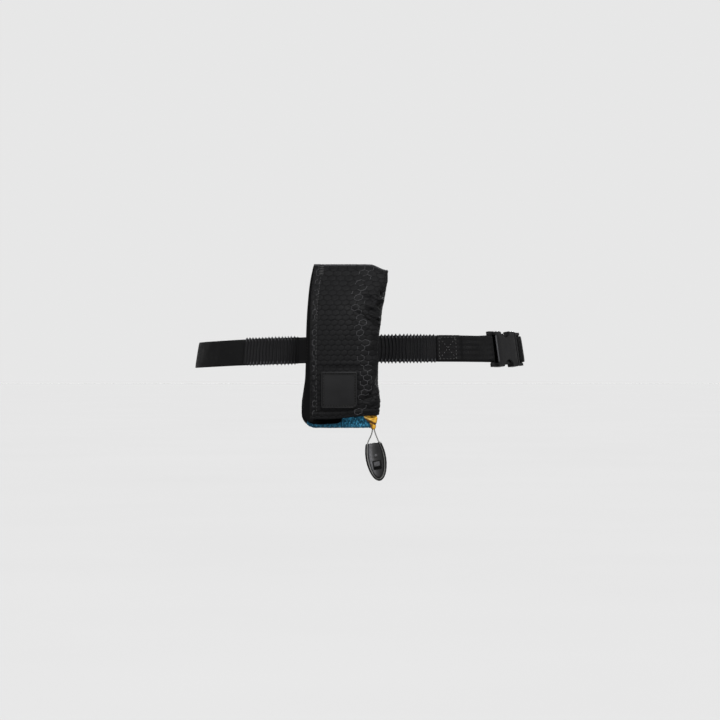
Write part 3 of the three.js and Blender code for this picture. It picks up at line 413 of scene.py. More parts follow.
def ring_faces(count, sides):
    """Faces round a stack of rings, closed by a fan to each of the two points after them."""
    k = np.arange(sides)
    n = np.roll(k, -1)
    last, start = (count - 1) * sides, count * sides
    walls = [np.stack([k, n, n + sides, k + sides], 1) + r * sides for r in range(count - 1)]
    foot = np.stack([np.full(sides, start), n, k, k], 1)
    head = np.stack([np.full(sides, start + 1), last + k, last + n, last + n], 1)
    return np.concatenate([*walls, foot, head])


def tube(path, radii, sides, turn=None):
    """Closed tube along a path, with a radius at each point, times a factor by angle and step in turn."""
    ahead = unit(np.gradient(path, axis=0))
    side = np.cross(ahead[0], (0, 0, 1) if abs(ahead[0][2]) < 0.9 else (0, 1, 0))
    rings = []
    angles = np.linspace(0, 2 * math.pi, sides, endpoint=False)
    for k, (spot, along) in enumerate(zip(path, ahead)):
        side = unit(side - along * np.dot(side, along))
        over = np.cross(along, side)
        reach = radii[k] * (turn(angles, k) if turn else np.ones(sides))
        rings.append(spot + np.outer(reach * np.cos(angles), side) + np.outer(reach * np.sin(angles), over))
    points = np.concatenate(rings + [path[:1], path[-1:]])
    return points, ring_faces(len(path), sides)


def join(parts):
    """Several (points, faces) as one."""
    points, faces, first = [], [], 0
    for spots, polygons in parts:
        points.append(spots)
        faces.append(polygons + first)
        first += len(spots)
    return np.concatenate(points), np.concatenate(faces)


def rings_solid(rings):
    """Closed solid through rings of points, filled to the middle of the first and last ring."""
    points = np.concatenate([*rings, rings[0].mean(0)[None], rings[-1].mean(0)[None]])
    return points, facing_out(points, ring_faces(len(rings), len(rings[0])))


def without_repeats(face):
    kept = []
    for corner in face:
        if corner not in kept:
            kept.append(corner)
    return kept


def new_object(name, points, faces):
    """A mesh object. A face that repeats a corner loses the repeat."""
    rows = faces.tolist() if isinstance(faces, np.ndarray) else faces
    mesh = bpy.data.meshes.new(name)
    mesh.from_pydata(points.tolist(), [], [without_repeats(face) for face in rows])
    mesh.validate()
    body = bpy.data.objects.new(name, mesh)
    bpy.context.collection.objects.link(body)
    return body


def add_piece(name, shape, finish, slot, replaces=(), cloth=None, sharp=None):
    """A piece from points in millimetres, riding on the pack. Its edges over the angle sharp stay sharp."""
    points, faces = shape
    piece = new_object(name, points * MM, faces)
    mesh = piece.data
    if cloth is not None:
        layer = mesh.attributes.new("cloth", "FLOAT_VECTOR", "POINT")
        layer.data.foreach_set("vector", np.pad(cloth, ((0, 0), (0, 3 - cloth.shape[1]))).ravel())
    mesh.polygons.foreach_set("use_smooth", np.full(len(mesh.polygons), True))
    if sharp is not None:
        mesh.set_sharp_from_angle(angle=sharp)
    mesh.materials.append(finish)
    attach(piece, "root")
    if replaces:
        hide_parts(*replaces)
    return piece


def add_sheet(name, outer, inner, cloth, finish, slot, replaces=()):
    points, faces, places = shell(outer, inner, cloth)
    return add_piece(name, (points, faces), finish, slot, replaces, places)


def stitch_row(spots, normals, stitch, pitch, radius, lift=0.18):
    """Short arched threads along a line of points on a surface."""
    reach = travel(spots)
    bow = np.sin(np.linspace(0, math.pi, 7))
    parts = []
    for start in np.arange(0, reach[-1] - stitch + 1e-6, pitch):
        s = np.linspace(start, start + stitch, 7)
        line = np.stack([np.interp(s, reach, spots[:, c]) for c in range(3)], 1)
        out = unit(np.stack([np.interp(s, reach, normals[:, c]) for c in range(3)], 1))
        path = line + out * ((bow - 0.45) * radius * 1.6 + lift)[:, None]
        parts.append(tube(path, radius * (0.55 + 0.45 * bow), 6))
    return parts


# Finishes


class Finish:
    """Node tree of one material, with short calls for the nodes that the finishes share."""

    def __init__(self, name, tint, roughness, specular, sheen=0.0):
        self.material = bpy.data.materials.new(name)
        self.material.use_nodes = True
        self.tree = self.material.node_tree
        self.shader = self.tree.nodes["Principled BSDF"]
        self.set("Base Color", (*tint, 1))
        self.set("Roughness", roughness)
        self.set("Specular IOR Level", specular)
        self.set("Sheen Weight", sheen)
        self.set("Sheen Roughness", 0.5)

    def set(self, socket, value):
        self.feed(self.shader.inputs[socket], value)

    def feed(self, socket, value):
        if isinstance(value, bpy.types.NodeSocket):
            self.tree.links.new(value, socket)
        else:
            socket.default_value = value

    def node(self, kind, inputs, **settings):
        node = self.tree.nodes.new("ShaderNode" + kind)
        for key, value in settings.items():
            setattr(node, key, value)
        for key, value in inputs.items():
            self.feed(node.inputs[key], value)
        return node

    def math(self, operation, a, b=0.0):
        return self.node("Math", {0: a, 1: b}, operation=operation).outputs[0]

    def times(self, a, b):
        return self.math("MULTIPLY", a, b)

    def plus(self, a, b):
        return self.math("ADD", a, b)

    def most(self, first, *others):
        for other in others:
            first = self.math("MAXIMUM", first, other)
        return first

    def vector(self, operation, a, b=(0, 0, 0), c=None, output="Vector"):
        inputs = {0: a, 1: b} if c is None else {0: a, 1: b, 2: c}
        return self.node("VectorMath", inputs, operation=operation).outputs[output]

    def place(self):
        """Place on the cloth in millimetres."""
        return self.node("Attribute", {}, attribute_name="cloth").outputs["Vector"]

    def spot(self):
        """Place on the object in millimetres."""
        return self.vector("MULTIPLY", self.node("TexCoord", {}).outputs["Object"], (1000, 1000, 1000))

    def split(self, vector):
        return self.node("SeparateXYZ", {0: vector}).outputs

    def noise(self, vector, size, detail=2.0, roughness=0.5):
        """Noise between 0 and 1 with grains of a size in millimetres."""
        inputs = {"Vector": vector, "Scale": 1 / size, "Detail": detail, "Roughness": roughness}
        return self.node("TexNoise", inputs).outputs[0]

    def wave(self, value, pitch):
        """A smooth wave between 0 and 1 along one direction."""
        sine = self.math("SINE", self.math("MULTIPLY", value, 2 * math.pi / pitch))
        return self.node("MapRange", {0: sine, 1: -1.0, 2: 1.0}).outputs[0]

    def fade(self, value, low, high, start=0.0, end=1.0):
        inputs = {0: value, 1: low, 2: high, 3: start, 4: end}
        return self.node("MapRange", inputs, interpolation_type="SMOOTHSTEP").outputs[0]

    def fall(self, value, low, high):
        """1 up to a low value and 0 from a high one."""
        return self.fade(value, low, high, 1.0, 0.0)

    def between(self, value, rise, full, still_full, end):
        """1 between two inner values, fading to 0 at two outer ones."""
        return self.times(self.fade(value, rise, full), self.fall(value, still_full, end))

    def blend(self, factor, a, b):
        node = self.node("Mix", {0: factor}, data_type="RGBA")
        for index, value in ((6, a), (7, b)):
            self.feed(node.inputs[index], value if isinstance(value, bpy.types.NodeSocket) else (*value, 1))
        return node.outputs[2]

    def bump(self, height, millimetres, normal=None):
        inputs = {"Height": height, "Distance": millimetres * MM, "Strength": 1.0}
        if normal is not None:
            inputs["Normal"] = normal
        return self.node("Bump", inputs).outputs[0]


def shade(tint, factor):
    return tuple(min(channel * factor, 1) for channel in tint)


def weave(finish, pitch):
    """Height of a plain weave: threads that go over and under by turns."""
    across, up, _ = finish.split(finish.place())
    return finish.times(finish.wave(across, pitch), finish.wave(up, pitch))


def cell_edges(finish, width, pitch):
    """Distances from the upright and the slanted outlines of a six-sided cell, as shares of its width."""
    stretch = (1 / width, math.sqrt(0.75) / pitch, 0)
    high, low = (0.5, math.sqrt(0.75), 1), (-0.5, -math.sqrt(0.75), -1)
    across, up, _ = finish.split(finish.place())
    upright = finish.math("SUBTRACT", across, finish.times(up, CELL_LEAN))
    place = finish.node("CombineXYZ", {0: upright, 1: up}).outputs[0]
    spot = finish.vector("MULTIPLY", place, stretch)
    near = finish.vector("WRAP", spot, high, low)
    moved = finish.vector("SUBTRACT", spot, (0.5, math.sqrt(0.75), 0))
    shifted = finish.vector("WRAP", moved, high, low)
    nearer = finish.math(
        "LESS_THAN",
        finish.vector("LENGTH", near, output="Value"),
        finish.vector("LENGTH", shifted, output="Value"),
    )
    pick = finish.node("Mix", {0: nearer}, data_type="VECTOR")
    finish.feed(pick.inputs[4], shifted)
    finish.feed(pick.inputs[5], near)
    away = finish.vector("ABSOLUTE", pick.outputs[1])
    slant = finish.vector("DOT_PRODUCT", away, (0.5, math.sqrt(0.75), 0), output="Value")
    return finish.math("SUBTRACT", 0.5, finish.split(away)[0]), finish.math("SUBTRACT", 0.5, slant)


def ripstop_finish(sizes, colours, tall):
    """Coated ripstop: dark outlines between rows of cells, flecks, and a painted highlight along its top
    edge.
    """
    tint = colours.ripstop
    finish = Finish("ripstop", tint, 0.55, specular=0.03)
    place = finish.place()
    upright, slanted = cell_edges(finish, sizes.cell_width / MM, sizes.cell_pitch / MM)
    rows = finish.fall(slanted, 0.0, 0.07)
    sides = finish.fade(upright, 0.0, 0.055, 0.85, 0.0)
    # Noise that breaks up the outlines, and the painted highlight along the top edge
    wear_and_highlight = finish.noise(place, 3.0, 3.0, 0.6)
    outline = finish.times(finish.most(rows, sides), finish.fade(wear_and_highlight, 0.3, 0.6, 0.45, 1.0))
    patchy = finish.noise(place, 9.0)
    flecks = finish.fade(finish.noise(place, 0.8), 0.58, 0.72)
    ground = finish.blend(patchy, shade(tint, 0.75), shade(tint, 1.5))
    ground = finish.blend(flecks, ground, shade(tint, 2.6))
    ground = finish.blend(outline, ground, shade(tint, 0.2))
    _, up, _ = finish.split(place)
    # Painted highlight: the cloth just under the top edge is painted far lighter
    painted_highlight = finish.times(finish.fade(up, tall - 1.9, tall - 0.6), finish.fade(wear_and_highlight, 0.3, 0.6, 0.3, 1.0))
    finish.set("Base Color", finish.blend(painted_highlight, ground, shade(tint, 9)))
    finish.set("Roughness", finish.fade(patchy, 0.2, 0.8, 0.48, 0.66))
    fine = finish.bump(weave(finish, 0.55), 0.05)
    finish.set("Normal", finish.bump(finish.math("SUBTRACT", 1.0, outline), 0.2, fine))
    return finish.material


def cloth_finish(name, tint):
    """Plain weave, a little patchy, with painted shade in the hollows between its threads."""
    finish = Finish(name, tint, 0.75, specular=0.0)
    patchy = finish.noise(finish.place(), 6.0, 3.0)
    height = weave(finish, 0.9)
    ground = finish.blend(patchy, shade(tint, 0.75), shade(tint, 1.4))
    # Painted shade: the low places of the weave are painted darker
    finish.set("Base Color", finish.blend(height, shade(tint, 0.7), ground))
    finish.set("Roughness", finish.fade(patchy, 0.2, 0.8, 0.65, 0.85))
    finish.set("Normal", finish.bump(height, 0.12, finish.bump(patchy, 0.2)))
    return finish.material


def lining_finish(colours):
    """Brushed cloth with flecks, with painted shade on its low strip and beside the tab."""
    tint = colours.lining
    finish = Finish("lining", tint, 0.9, specular=0.05, sheen=0.02)
    place = finish.place()
    fuzz = finish.noise(place, 1.3, 4.0, 0.7)
    flecks = finish.noise(place, 2.6, 2.0)
    across, _, _ = finish.split(place)
    deep = finish.blend(finish.fade(flecks, 0.38, 0.62), shade(tint, 0.3), tint)
    ground = finish.blend(finish.fade(fuzz, 0.5, 0.68), deep, shade(tint, 3.2))
    # Painted shade: the low strip on the left and the step beside the tab are painted darker
    beside = finish.math("ABSOLUTE", finish.plus(across, -FLAP_STEP[1]))
    strip = finish.fade(across, -16.0, -13.0, 0.35, 0.0)
    shaded = finish.most(strip, finish.fade(beside, 0.4, 1.1, 0.85, 0.0))
    finish.set("Base Color", finish.blend(shaded, ground, shade(tint, 0.25)))
    finish.set("Normal", finish.bump(fuzz, 0.5))
    return finish.material


def bladder_finish(colours):
    """Coated cloth, with a painted highlight along the pleat of its corner and painted shade, in brown, in
    the folds, the tuck and under the hem.
    """
    tint = colours.bladder
    finish = Finish("bladder", tint, 0.45, specular=0.12)
    place = finish.place()
    across, up, _ = finish.split(place)
    rub = finish.noise(place, 4.0, 3.0)
    # Tints for the painted shade (brown) and for the painted highlight (pale)
    deep = (tint[0] * 0.5, tint[1] * 0.38, tint[2] * 0.3)
    pale = (tint[0] * 3.0, tint[1] * 3.6, tint[2] * 13)
    ground = finish.blend(finish.fade(rub, 0.32, 0.6), shade(tint, 0.9), shade(tint, 1.65))
    pleat = finish.plus(up, finish.times(across, PLEAT_SLOPE))
    lit = finish.times(finish.between(pleat, *PLEAT_LIT), finish.fall(across, 12.0, 14.5))
    ground = finish.blend(lit, ground, pale)
    # Painted shade: under the pleat, on the tab's left side, in the tuck and along the top under the hem
    under = finish.between(pleat, *PLEAT_SHADE)
    side = finish.times(finish.fall(across, *TAB_SHADE["across"]), finish.fall(up, *TAB_SHADE["up"]))
    away = finish.vector("LENGTH", finish.vector("SUBTRACT", place, TUCK["spot"]), output="Value")
    dark = finish.most(under, side, finish.fall(away, *TUCK["reach"]), finish.fade(up, *HEM_SHADOW_FOOT))
    ground = finish.blend(dark, ground, shade(deep, 0.8))
    # Painted shade along the crease
    level = finish.plus(up, finish.times(across, CREASE["slope"]))
    off = finish.math("ABSOLUTE", finish.plus(level, -CREASE["level"]))
    finish.set("Base Color", finish.blend(finish.fall(off, *CREASE["reach"]), ground, shade(deep, 0.5)))
    finish.set("Roughness", finish.fade(rub, 0.3, 0.7, 0.38, 0.55))
    finish.set("Normal", finish.bump(weave(finish, 0.6), 0.06, finish.bump(rub, 0.25)))
    return finish.material


def rubber_finish(colours):
    """Moulded rubber, with a painted highlight on its rim and painted shade in the groove of its stitches.
    """
    tint = colours.rubber
    finish = Finish("rubber", tint, 0.6, specular=0.07)
    spot = finish.spot()
    grain = finish.noise(spot, 0.35, 3.0)
    rub = finish.noise(spot, 7.0, 4.0)
    inward, _, _ = finish.split(finish.place())
    ground = finish.blend(rub, shade(tint, 0.85), shade(tint, 1.2))
    # Painted shade: the groove of the stitches is painted darker
    groove = finish.blend(finish.fade(inward, 2.3, 2.8), shade(tint, 0.45), ground)
    # Painted highlight: the rim is painted lighter
    finish.set("Base Color", finish.blend(finish.fade(inward, 0.7, 1.3), shade(tint, 1.25), groove))
    finish.set("Roughness", finish.fade(rub, 0.25, 0.75, 0.5, 0.68))
    finish.set("Normal", finish.bump(grain, 0.04))
    return finish.material


def webbing_finish(colours):
    """Woven strap: rows of slanted threads along it, a tighter edge at each side, and painted shade in the
    hollows of the weave.
    """
    tint = colours.webbing
    finish = Finish("webbing", tint, 0.62, specular=0.05)
    along, up, _ = finish.split(finish.place())
    zigzag = finish.math("PINGPONG", up, 2.6)
    twill = finish.wave(finish.plus(along, zigzag), 1.25)
    rows = finish.wave(up, 1.3)
    patchy = finish.noise(finish.place(), 14.0, 3.0)
    height = finish.times(twill, finish.fade(rows, 0.0, 0.6, 0.5, 1.0))
    ground = finish.blend(patchy, shade(tint, 0.8), shade(tint, 1.5))
    # Painted shade: the low places of the weave are painted darker
    finish.set("Base Color", finish.blend(height, shade(tint, 0.5), ground))
    finish.set("Roughness", finish.fade(patchy, 0.3, 0.7, 0.55, 0.72))
    finish.set("Normal", finish.bump(height, 0.18))
    return finish.material


def elastic_finish(colours):
    """Knitted elastic, with painted shade between its ribs and in the hollows of its knit, and a painted
    highlight where the ribs curl over its two edges.
    """
    tint = shade(colours.webbing, 2.2)
    finish = Finish("elastic", tint, 0.7, specular=0.05)
    along, up, ribs = finish.split(finish.place())
    cords = finish.wave(up, 1.1)
    threads = finish.wave(along, 0.6)
    patchy = finish.noise(finish.place(), 2.0, 3.0)
    height = finish.times(cords, finish.fade(threads, 0.0, 1.0, 0.6, 1.0))
    ground = finish.blend(patchy, shade(tint, 0.8), shade(tint, 1.6))
    # Painted shade between the ribs
    ground = finish.blend(finish.fade(ribs, 0.15, 0.8), shade(tint, 0.7), ground)
    # Painted shade in the hollows of the knit
    ground = finish.blend(height, shade(tint, 0.6), ground)
    # Painted highlight on the crests of the ribs where they curl over the two edges
    edge = finish.fade(finish.math("ABSOLUTE", up), 9.6, 10.8)
    curl_highlight = finish.times(edge, finish.fade(ribs, 0.35, 0.85))
    finish.set("Base Color", finish.blend(curl_highlight, ground, shade(tint, 5)))
    finish.set("Normal", finish.bump(height, 0.15))
    return finish.material


def plastic_finish(name, tint, roughness, specular, grit=0.03, wear_and_highlight=1.0):
    """Moulded plastic. The last argument is how much lighter the toggle's plate is painted where it carries
    a painted highlight, or 1 for none.
    """
    finish = Finish(name, tint, roughness, specular=specular)
    spot = finish.spot()
    grain = finish.noise(spot, 0.6, 4.0)
    rub = finish.noise(spot, 6.0, 5.0, 0.65)
    ground = finish.blend(rub, shade(tint, 0.8), shade(tint, 1.4))
    # Painted highlight on the plate's left side, its pin and its tab, broken up by noise
    if wear_and_highlight > 1:
        across, _, up = finish.split(spot)
        side = finish.plus(across, finish.times(up, TOGGLE_LEAN))
        painted_highlight = finish.fall(side, *HIGHLIGHT_SIDE)
        for x, z, reach in HIGHLIGHT_SPOTS:
            flat = finish.vector("MULTIPLY", finish.vector("SUBTRACT", spot, (x, 0, z)), (1, 0, 1))
            away = finish.vector("LENGTH", flat, output="Value")
            painted_highlight = finish.most(painted_highlight, finish.fade(away, reach * 0.7, reach, 0.5, 0.0))
        mottled = finish.fade(finish.noise(spot, 1.6, 3.0), 0.35, 0.6, 0.55, 1.0)
        ground = finish.blend(finish.times(painted_highlight, mottled), ground, shade(tint, wear_and_highlight))
    finish.set("Base Color", ground)
    finish.set("Roughness", finish.fade(rub, 0.3, 0.7, roughness - 0.07, roughness + 0.1))
    finish.set("Normal", finish.bump(grain, grit))
    return finish.material


def thread_finish(name, tint, roughness=0.6):
    """Twisted sewing thread."""
    finish = Finish(name, tint, roughness, specular=0.1)
    ply = finish.noise(finish.spot(), 0.5, 2.0)
    finish.set("Base Color", finish.blend(ply, shade(tint, 0.6), shade(tint, 1.4)))
    finish.set("Normal", finish.bump(ply, 0.05))
    return finish.material


def cord_finish(colours):
    """Braid: two sets of strands that cross, with painted shade between them."""
    tint = colours.cord
    finish = Finish("cord", tint, 0.65, specular=0.35)
    around, along, _ = finish.split(finish.place())
    braid = finish.wave(finish.plus(around, along), 0.95)
    cross = finish.wave(finish.math("SUBTRACT", around, along), 0.95)
    height = finish.most(braid, cross)
    # Painted shade: the hollows between the strands are painted darker
    finish.set("Base Color", finish.blend(height, shade(tint, 0.25), shade(tint, 0.65)))
    finish.set("Normal", finish.bump(height, 0.06))
    return finish.material


def floor_finish(colours):
    """Plain paper with a faint haze."""
    tint = colours.floor
    finish = Finish("floor", tint, 1.0, specular=0.0)
    haze = finish.noise(finish.spot(), 900.0)
    finish.set("Base Color", finish.blend(haze, shade(tint, 0.98), shade(tint, 1.02)))
    return finish.material


# Belt


def waist_oval():
    angle = np.linspace(0, 2 * math.pi, WAIST["steps"] + 1) - math.pi / 2
    bend = lambda v: np.sign(v) * np.abs(v) ** (2 / WAIST["squareness"])
    line = stacked(WAIST["half_width"] * bend(np.cos(angle)), WAIST["half_depth"] * bend(np.sin(angle)))
    return line, travel(line)


WAIST_LINE, WAIST_REACH = waist_oval()
WAIST_LENGTH = WAIST_REACH[-1]


def waist_at(along):
    s = np.mod(along, WAIST_LENGTH)
    return np.stack([np.interp(s, WAIST_REACH, WAIST_LINE[:, c]) for c in (0, 1)], -1)


def waist_out(along):
    ahead = unit(waist_at(along + 1) - waist_at(along - 1))
    return np.stack([ahead[..., 1], -ahead[..., 0]], -1)


def belt_point(along, out, up):
    """Point of the belt: along it, out from the waist and up it."""
    along, out, up = np.broadcast_arrays(along, out, up)
    at, away = waist_at(along), waist_out(along)
    share = at[..., 0] / WAIST["half_width"]
    lean = BELT["lean"] * smoothstep(*LEAN_RANGE, np.abs(at[..., 0]))
    shift = out * np.cos(lean) - up * np.sin(lean)
    z = BELT["roll"] * share - BELT["sag"] * share**2 + out * np.sin(lean) + up * np.cos(lean)
    return np.concatenate([at + away * shift[..., None], z[..., None]], -1)


def band(path, offset, up):
    """Face of a strap at an offset from its path of (along, out) points."""
    ahead = unit(np.gradient(path, axis=0))
    along = path[:, 0, None] - ahead[:, 1, None] * offset
    out = path[:, 1, None] + ahead[:, 0, None] * offset
    return belt_point(along, out, up)


def eased(start, end, step):
    """Path from one (along, out) point to another that starts and ends level."""
    count = max(math.ceil(abs(end[0] - start[0]) / step), 1)
    t = np.arange(count) / count
    return stacked(mix(start[0], end[0], t), mix(start[1], end[1], smoothstep(0, 1, t)))


def buckle_axes():
    along = np.array([math.cos(BUCKLE_ANGLE), math.sin(BUCKLE_ANGLE), 0])
    lean = BELT["lean"]
    out = np.array([along[1] * math.cos(lean), -along[0] * math.cos(lean), math.sin(lean)])
    return np.stack([along, np.cross(out, along), out])


def in_buckle(points):
    """Points of the buckle's own frame, in the pack's."""
    return np.asarray(points, float) @ buckle_axes() + np.array(BUCKLE_PLACE)


def bar_spot(x):
    """Place of a buckle bar along the waist and out from it."""
    point = in_buckle((x, 0, BAR["z"]))[:2]
    along = WAIST_REACH[np.argmin(np.linalg.norm(WAIST_LINE - point, axis=1))]
    return along, float(np.dot(point - waist_at(along), waist_out(along)))


SOCKET_BAR_X = -BAR["slot"] - BAR["radius"]
CLIP_BAR_X = CLIP["start"] + CLIP["length"] - BAR["radius"]


def turn_round(bar, radius, direction):
    """Path half round a buckle bar."""
    angle = np.linspace(-math.pi / 2, math.pi / 2, 21)
    return stacked(bar[0] + direction * radius * np.cos(angle), bar[1] + radius * np.sin(angle))


def add_webbing(name, path, sizes, finish, replaces):
    """Woven strap along a path, thinner at its two edges."""
    thick = sizes.webbing / MM
    share = np.linspace(-1, 1, 13)
    half = thick / 2 * (1 - 0.45 * np.abs(share) ** 7)
    up = share * BELT["half_height"]
    reach = travel(path)
    ripple = 0.18 * soft_noise(reach[:, None] / 6.0, up[None] / 30.0, 41)
    outer = band(path, half[None] + ripple, up[None])
    inner = band(path, ripple - half[None], up[None])
    places = stacked(reach[:, None], up[None])
    return add_sheet(name, outer, inner, places, finish, "webbing", replaces)


def elastic_height(along):
    over_long = smoothstep(0, 12, STRAP_LONG["end"] + 14 - along)
    into_short = smoothstep(0, 12, along - STRAP_SHORT["end"] + 16)
    return mix(LAYER["elastic"], LAYER["middle"], np.maximum(over_long, into_short))


def rib_height(along, up):
    """Height of the gathers over the elastic."""
    height = np.zeros(np.broadcast(along, up).shape)
    share = up / BELT["half_height"]
    for start, end, pitch, tall in GATHERS:
        wander = 0.30 * pitch * soft_noise(along / 9.0, up / 16.0, 7) + 0.08 * pitch * share**2
        phase = (along - start + wander) / pitch
        rib = (0.5 - 0.5 * np.cos(2 * math.pi * phase)) ** 1.5
        uneven = 0.9 + 0.22 * soft_noise(along / 5.3, up / 9.0, 11)
        inside = smoothstep(start, start + 1.5, along) * smoothstep(end, end - 1.5, along)
        height += tall * rib * uneven * inside
    return height


# Pouch


class PouchFront:
    """Outer face of the front cloth: forward along the right side, round the corner and across."""

    def __init__(self, sizes):
        rows = POUCH_GRID["rows"]
        self.share = np.linspace(0, 1, rows + 1)
        self.z = mix(POUCH_LEVELS[0][0], POUCH_LEVELS[-1][0], self.share)
        base, out, free = self.base()
        steps = np.linalg.norm(np.diff(base, axis=0), axis=2).mean(1)
        self.across = np.r_[0, np.cumsum(steps)]
        self.up = self.z - self.z[0]
        folded = self.folded(base, out, free, sizes)
        self.away = outward(folded)
        self.outer = folded + self.away * self.relief(base[..., 0], sizes)[..., None]
        self.normals = outward(self.outer)

    def base(self):
        """Smooth face, its direction out in plan, and how free it is to fold."""
        left, right, depth, corner, crown = pouch_level(self.z, LEFT, RIGHT, DEPTH, CORNER, CROWN)
        turn_y = POUCH_BACK_Y - depth + corner
        points, outs, slack = [], [], []
        zero, one = np.zeros_like(self.z), np.ones_like(self.z)
        for t in np.linspace(1, 0, POUCH_GRID["front"] + 1)[:-1]:
            y = POUCH_BACK_Y - depth - crown * math.sin(t * math.pi) ** 2
            points.append(stacked(mix(right - corner, left, t), y, self.z))
            outs.append(stacked(zero, -one, zero))
            slack.append(one)
        for angle in np.linspace(math.pi / 2, 0, POUCH_GRID["corner"] + 1)[:-1]:
            x, y = math.cos(angle), -math.sin(angle)
            points.append(stacked(right - corner + corner * x, turn_y + corner * y, self.z))
            outs.append(stacked(one * x, one * y, zero))
            slack.append(one)
        for t in np.linspace(1, 0, POUCH_GRID["side"] + 1):
            points.append(stacked(right, mix(POUCH_BACK_Y, turn_y, t), self.z))
            outs.append(stacked(one, zero, zero))
            slack.append(one * t)
        return np.array(points), np.array(outs), np.array(slack)

    def folded(self, base, out, free, sizes):
        """The face after its cloth, which is too tall for the right side, has settled into folds."""
        x, z = base[..., 0], base[..., 2]
        s, v = np.broadcast_arrays(self.across[:, None], self.up[None])
        hollow = sum(depth * bell(z, level, tall) for level, tall, depth in FLANK_HOLLOWS)
        base = base - out * (hollow * out[..., 0] * smoothstep(0.15, 0.9, free))[..., None]
        loose = free * smoothstep(2, 14, self.z[-1] - z)
        flank = smoothstep(-10, 14, x)
        level = np.zeros_like(base)
        level[..., 2] = POUCH_FOOT[0] * smoothstep(*POUCH_FOOT[1:], x) * (1 - self.share) ** EDGE_FADE
        level[..., 2] -= POUCH_TOP[0] * smoothstep(*POUCH_TOP[1:], x) * self.share**EDGE_FADE
        under_patch = np.abs(x - (PATCH["left"] + PATCH["right"]) / 2) < PATCH_HOLD[0]
        under_patch &= s > SEWN["left"]
        under_patch &= np.abs(z - (PATCH["foot"] + PATCH["head"]) / 2) < PATCH_HOLD[1]
        seeds = 0.6 * soft_noise(s / 9, v / 5, 5) * flank - dents(CREASES, x, z, 1.0)
        push = np.where(under_patch, 0, seeds) - dents(FOLDS, x, z, 0.3)
        shape = base + level + out * (push * loose)[..., None]
        busy = 0.25 + np.clip(bell(z, 36, 20) + 0.9 * bell(z, -46, 17), 0, 1)
        rest = base + level
        rest[..., 2] += np.cumsum(np.diff(z, axis=1, prepend=z[:, :1]) * sizes.slack * flank * busy, axis=1)
        sewn = (s < SEWN["left"]) | (v < SEWN["foot"]) | (v > self.up[-1] - SEWN["head"])
        sewn |= (s > self.across[-1] - SEWN["right"]) | under_patch
        columns, rows = np.arange(0, len(self.across), 2), np.arange(0, len(self.up), 2)
        pick = np.ix_(columns, rows)
        room = (FOLD_ROOM + FLANK_ROOM * out[..., 0] * free)[..., None]
        cloth = settled_cloth(shape[pick], rest[pick], sewn[pick], (base + level - out * room)[pick])
        cloth = through(columns, cloth, np.arange(len(self.across)))
        return through(rows, cloth.swapaxes(0, 1), np.arange(len(self.up))).swapaxes(0, 1)

    def relief(self, x, sizes):
        """How far the hems, seams and ripstop cells stand out from the cloth."""
        s, v = np.broadcast_arrays(self.across[:, None], self.up[None])
        hem_line = s - HEM_LINE
        on_panel = smoothstep(0.2, 1.6, hem_line) * smoothstep(5.4, 6.6, v)
        upright, slanted = cell_shares(s, v, sizes)
        puff = smoothstep(0.0, 0.20, slanted) * (0.6 + 0.4 * smoothstep(0.0, 0.20, upright)) - 0.7
        rise = sizes.cell_puff / MM * puff * (0.35 + 0.65 * on_panel)
        pucker = 0.5 + 0.5 * np.cos(2 * math.pi * v / HEM_PITCH)
        rise += 0.45 * (1 - smoothstep(-0.4, 0.5, hem_line))
        rise -= (0.25 + 0.22 * pucker) * bell(hem_line, 0, 0.7)
        rise += 0.16 * np.cos(2 * math.pi * v / 5.4) * bell(s, 2.2, 2.6)
        rise += 0.30 * (1 - smoothstep(5.2, 6.2, v))
        rise -= 0.35 * bell(v, 6.2, 0.7)
        rise -= 0.30 * bell(v, self.up[-1] - 5, 0.9) * (x < 24)
        rise += 0.55 * bell(v, self.up[-1] - 1.3, 1.6)
        return rise

    def at(self, s, v, lift=0.0):
        """Points on the cloth and the directions out of it, by place across and up."""
        i = np.interp(s, self.across, np.arange(len(self.across)))
        j = np.interp(v, self.up, np.arange(len(self.up)))
        i0 = np.minimum(i.astype(int), len(self.across) - 2)
        j0 = np.minimum(j.astype(int), len(self.up) - 2)
        fi, fj = (i - i0)[:, None], (j - j0)[:, None]
        pick = lambda grid: mix(
            mix(grid[i0, j0], grid[i0 + 1, j0], fi), mix(grid[i0, j0 + 1], grid[i0 + 1, j0 + 1], fi), fj
        )
        normals = unit(pick(self.normals))
        return pick(self.outer) + normals * lift, normals

    def place_of(self, x, z):
        """Place across and up the cloth of a point of the front panel."""
        left, right, corner = pouch_level(z, LEFT, RIGHT, CORNER)
        t = (x - left) / (right - corner - left)
        return np.interp(t * POUCH_GRID["front"], np.arange(len(self.across)), self.across), z - self.z[0]


def outward(grid):
    """Directions out of the pouch's front, at each point of a grid on it."""
    normals = grid_normals(grid)
    return normals if normals[10, 100, 1] < 0 else -normals


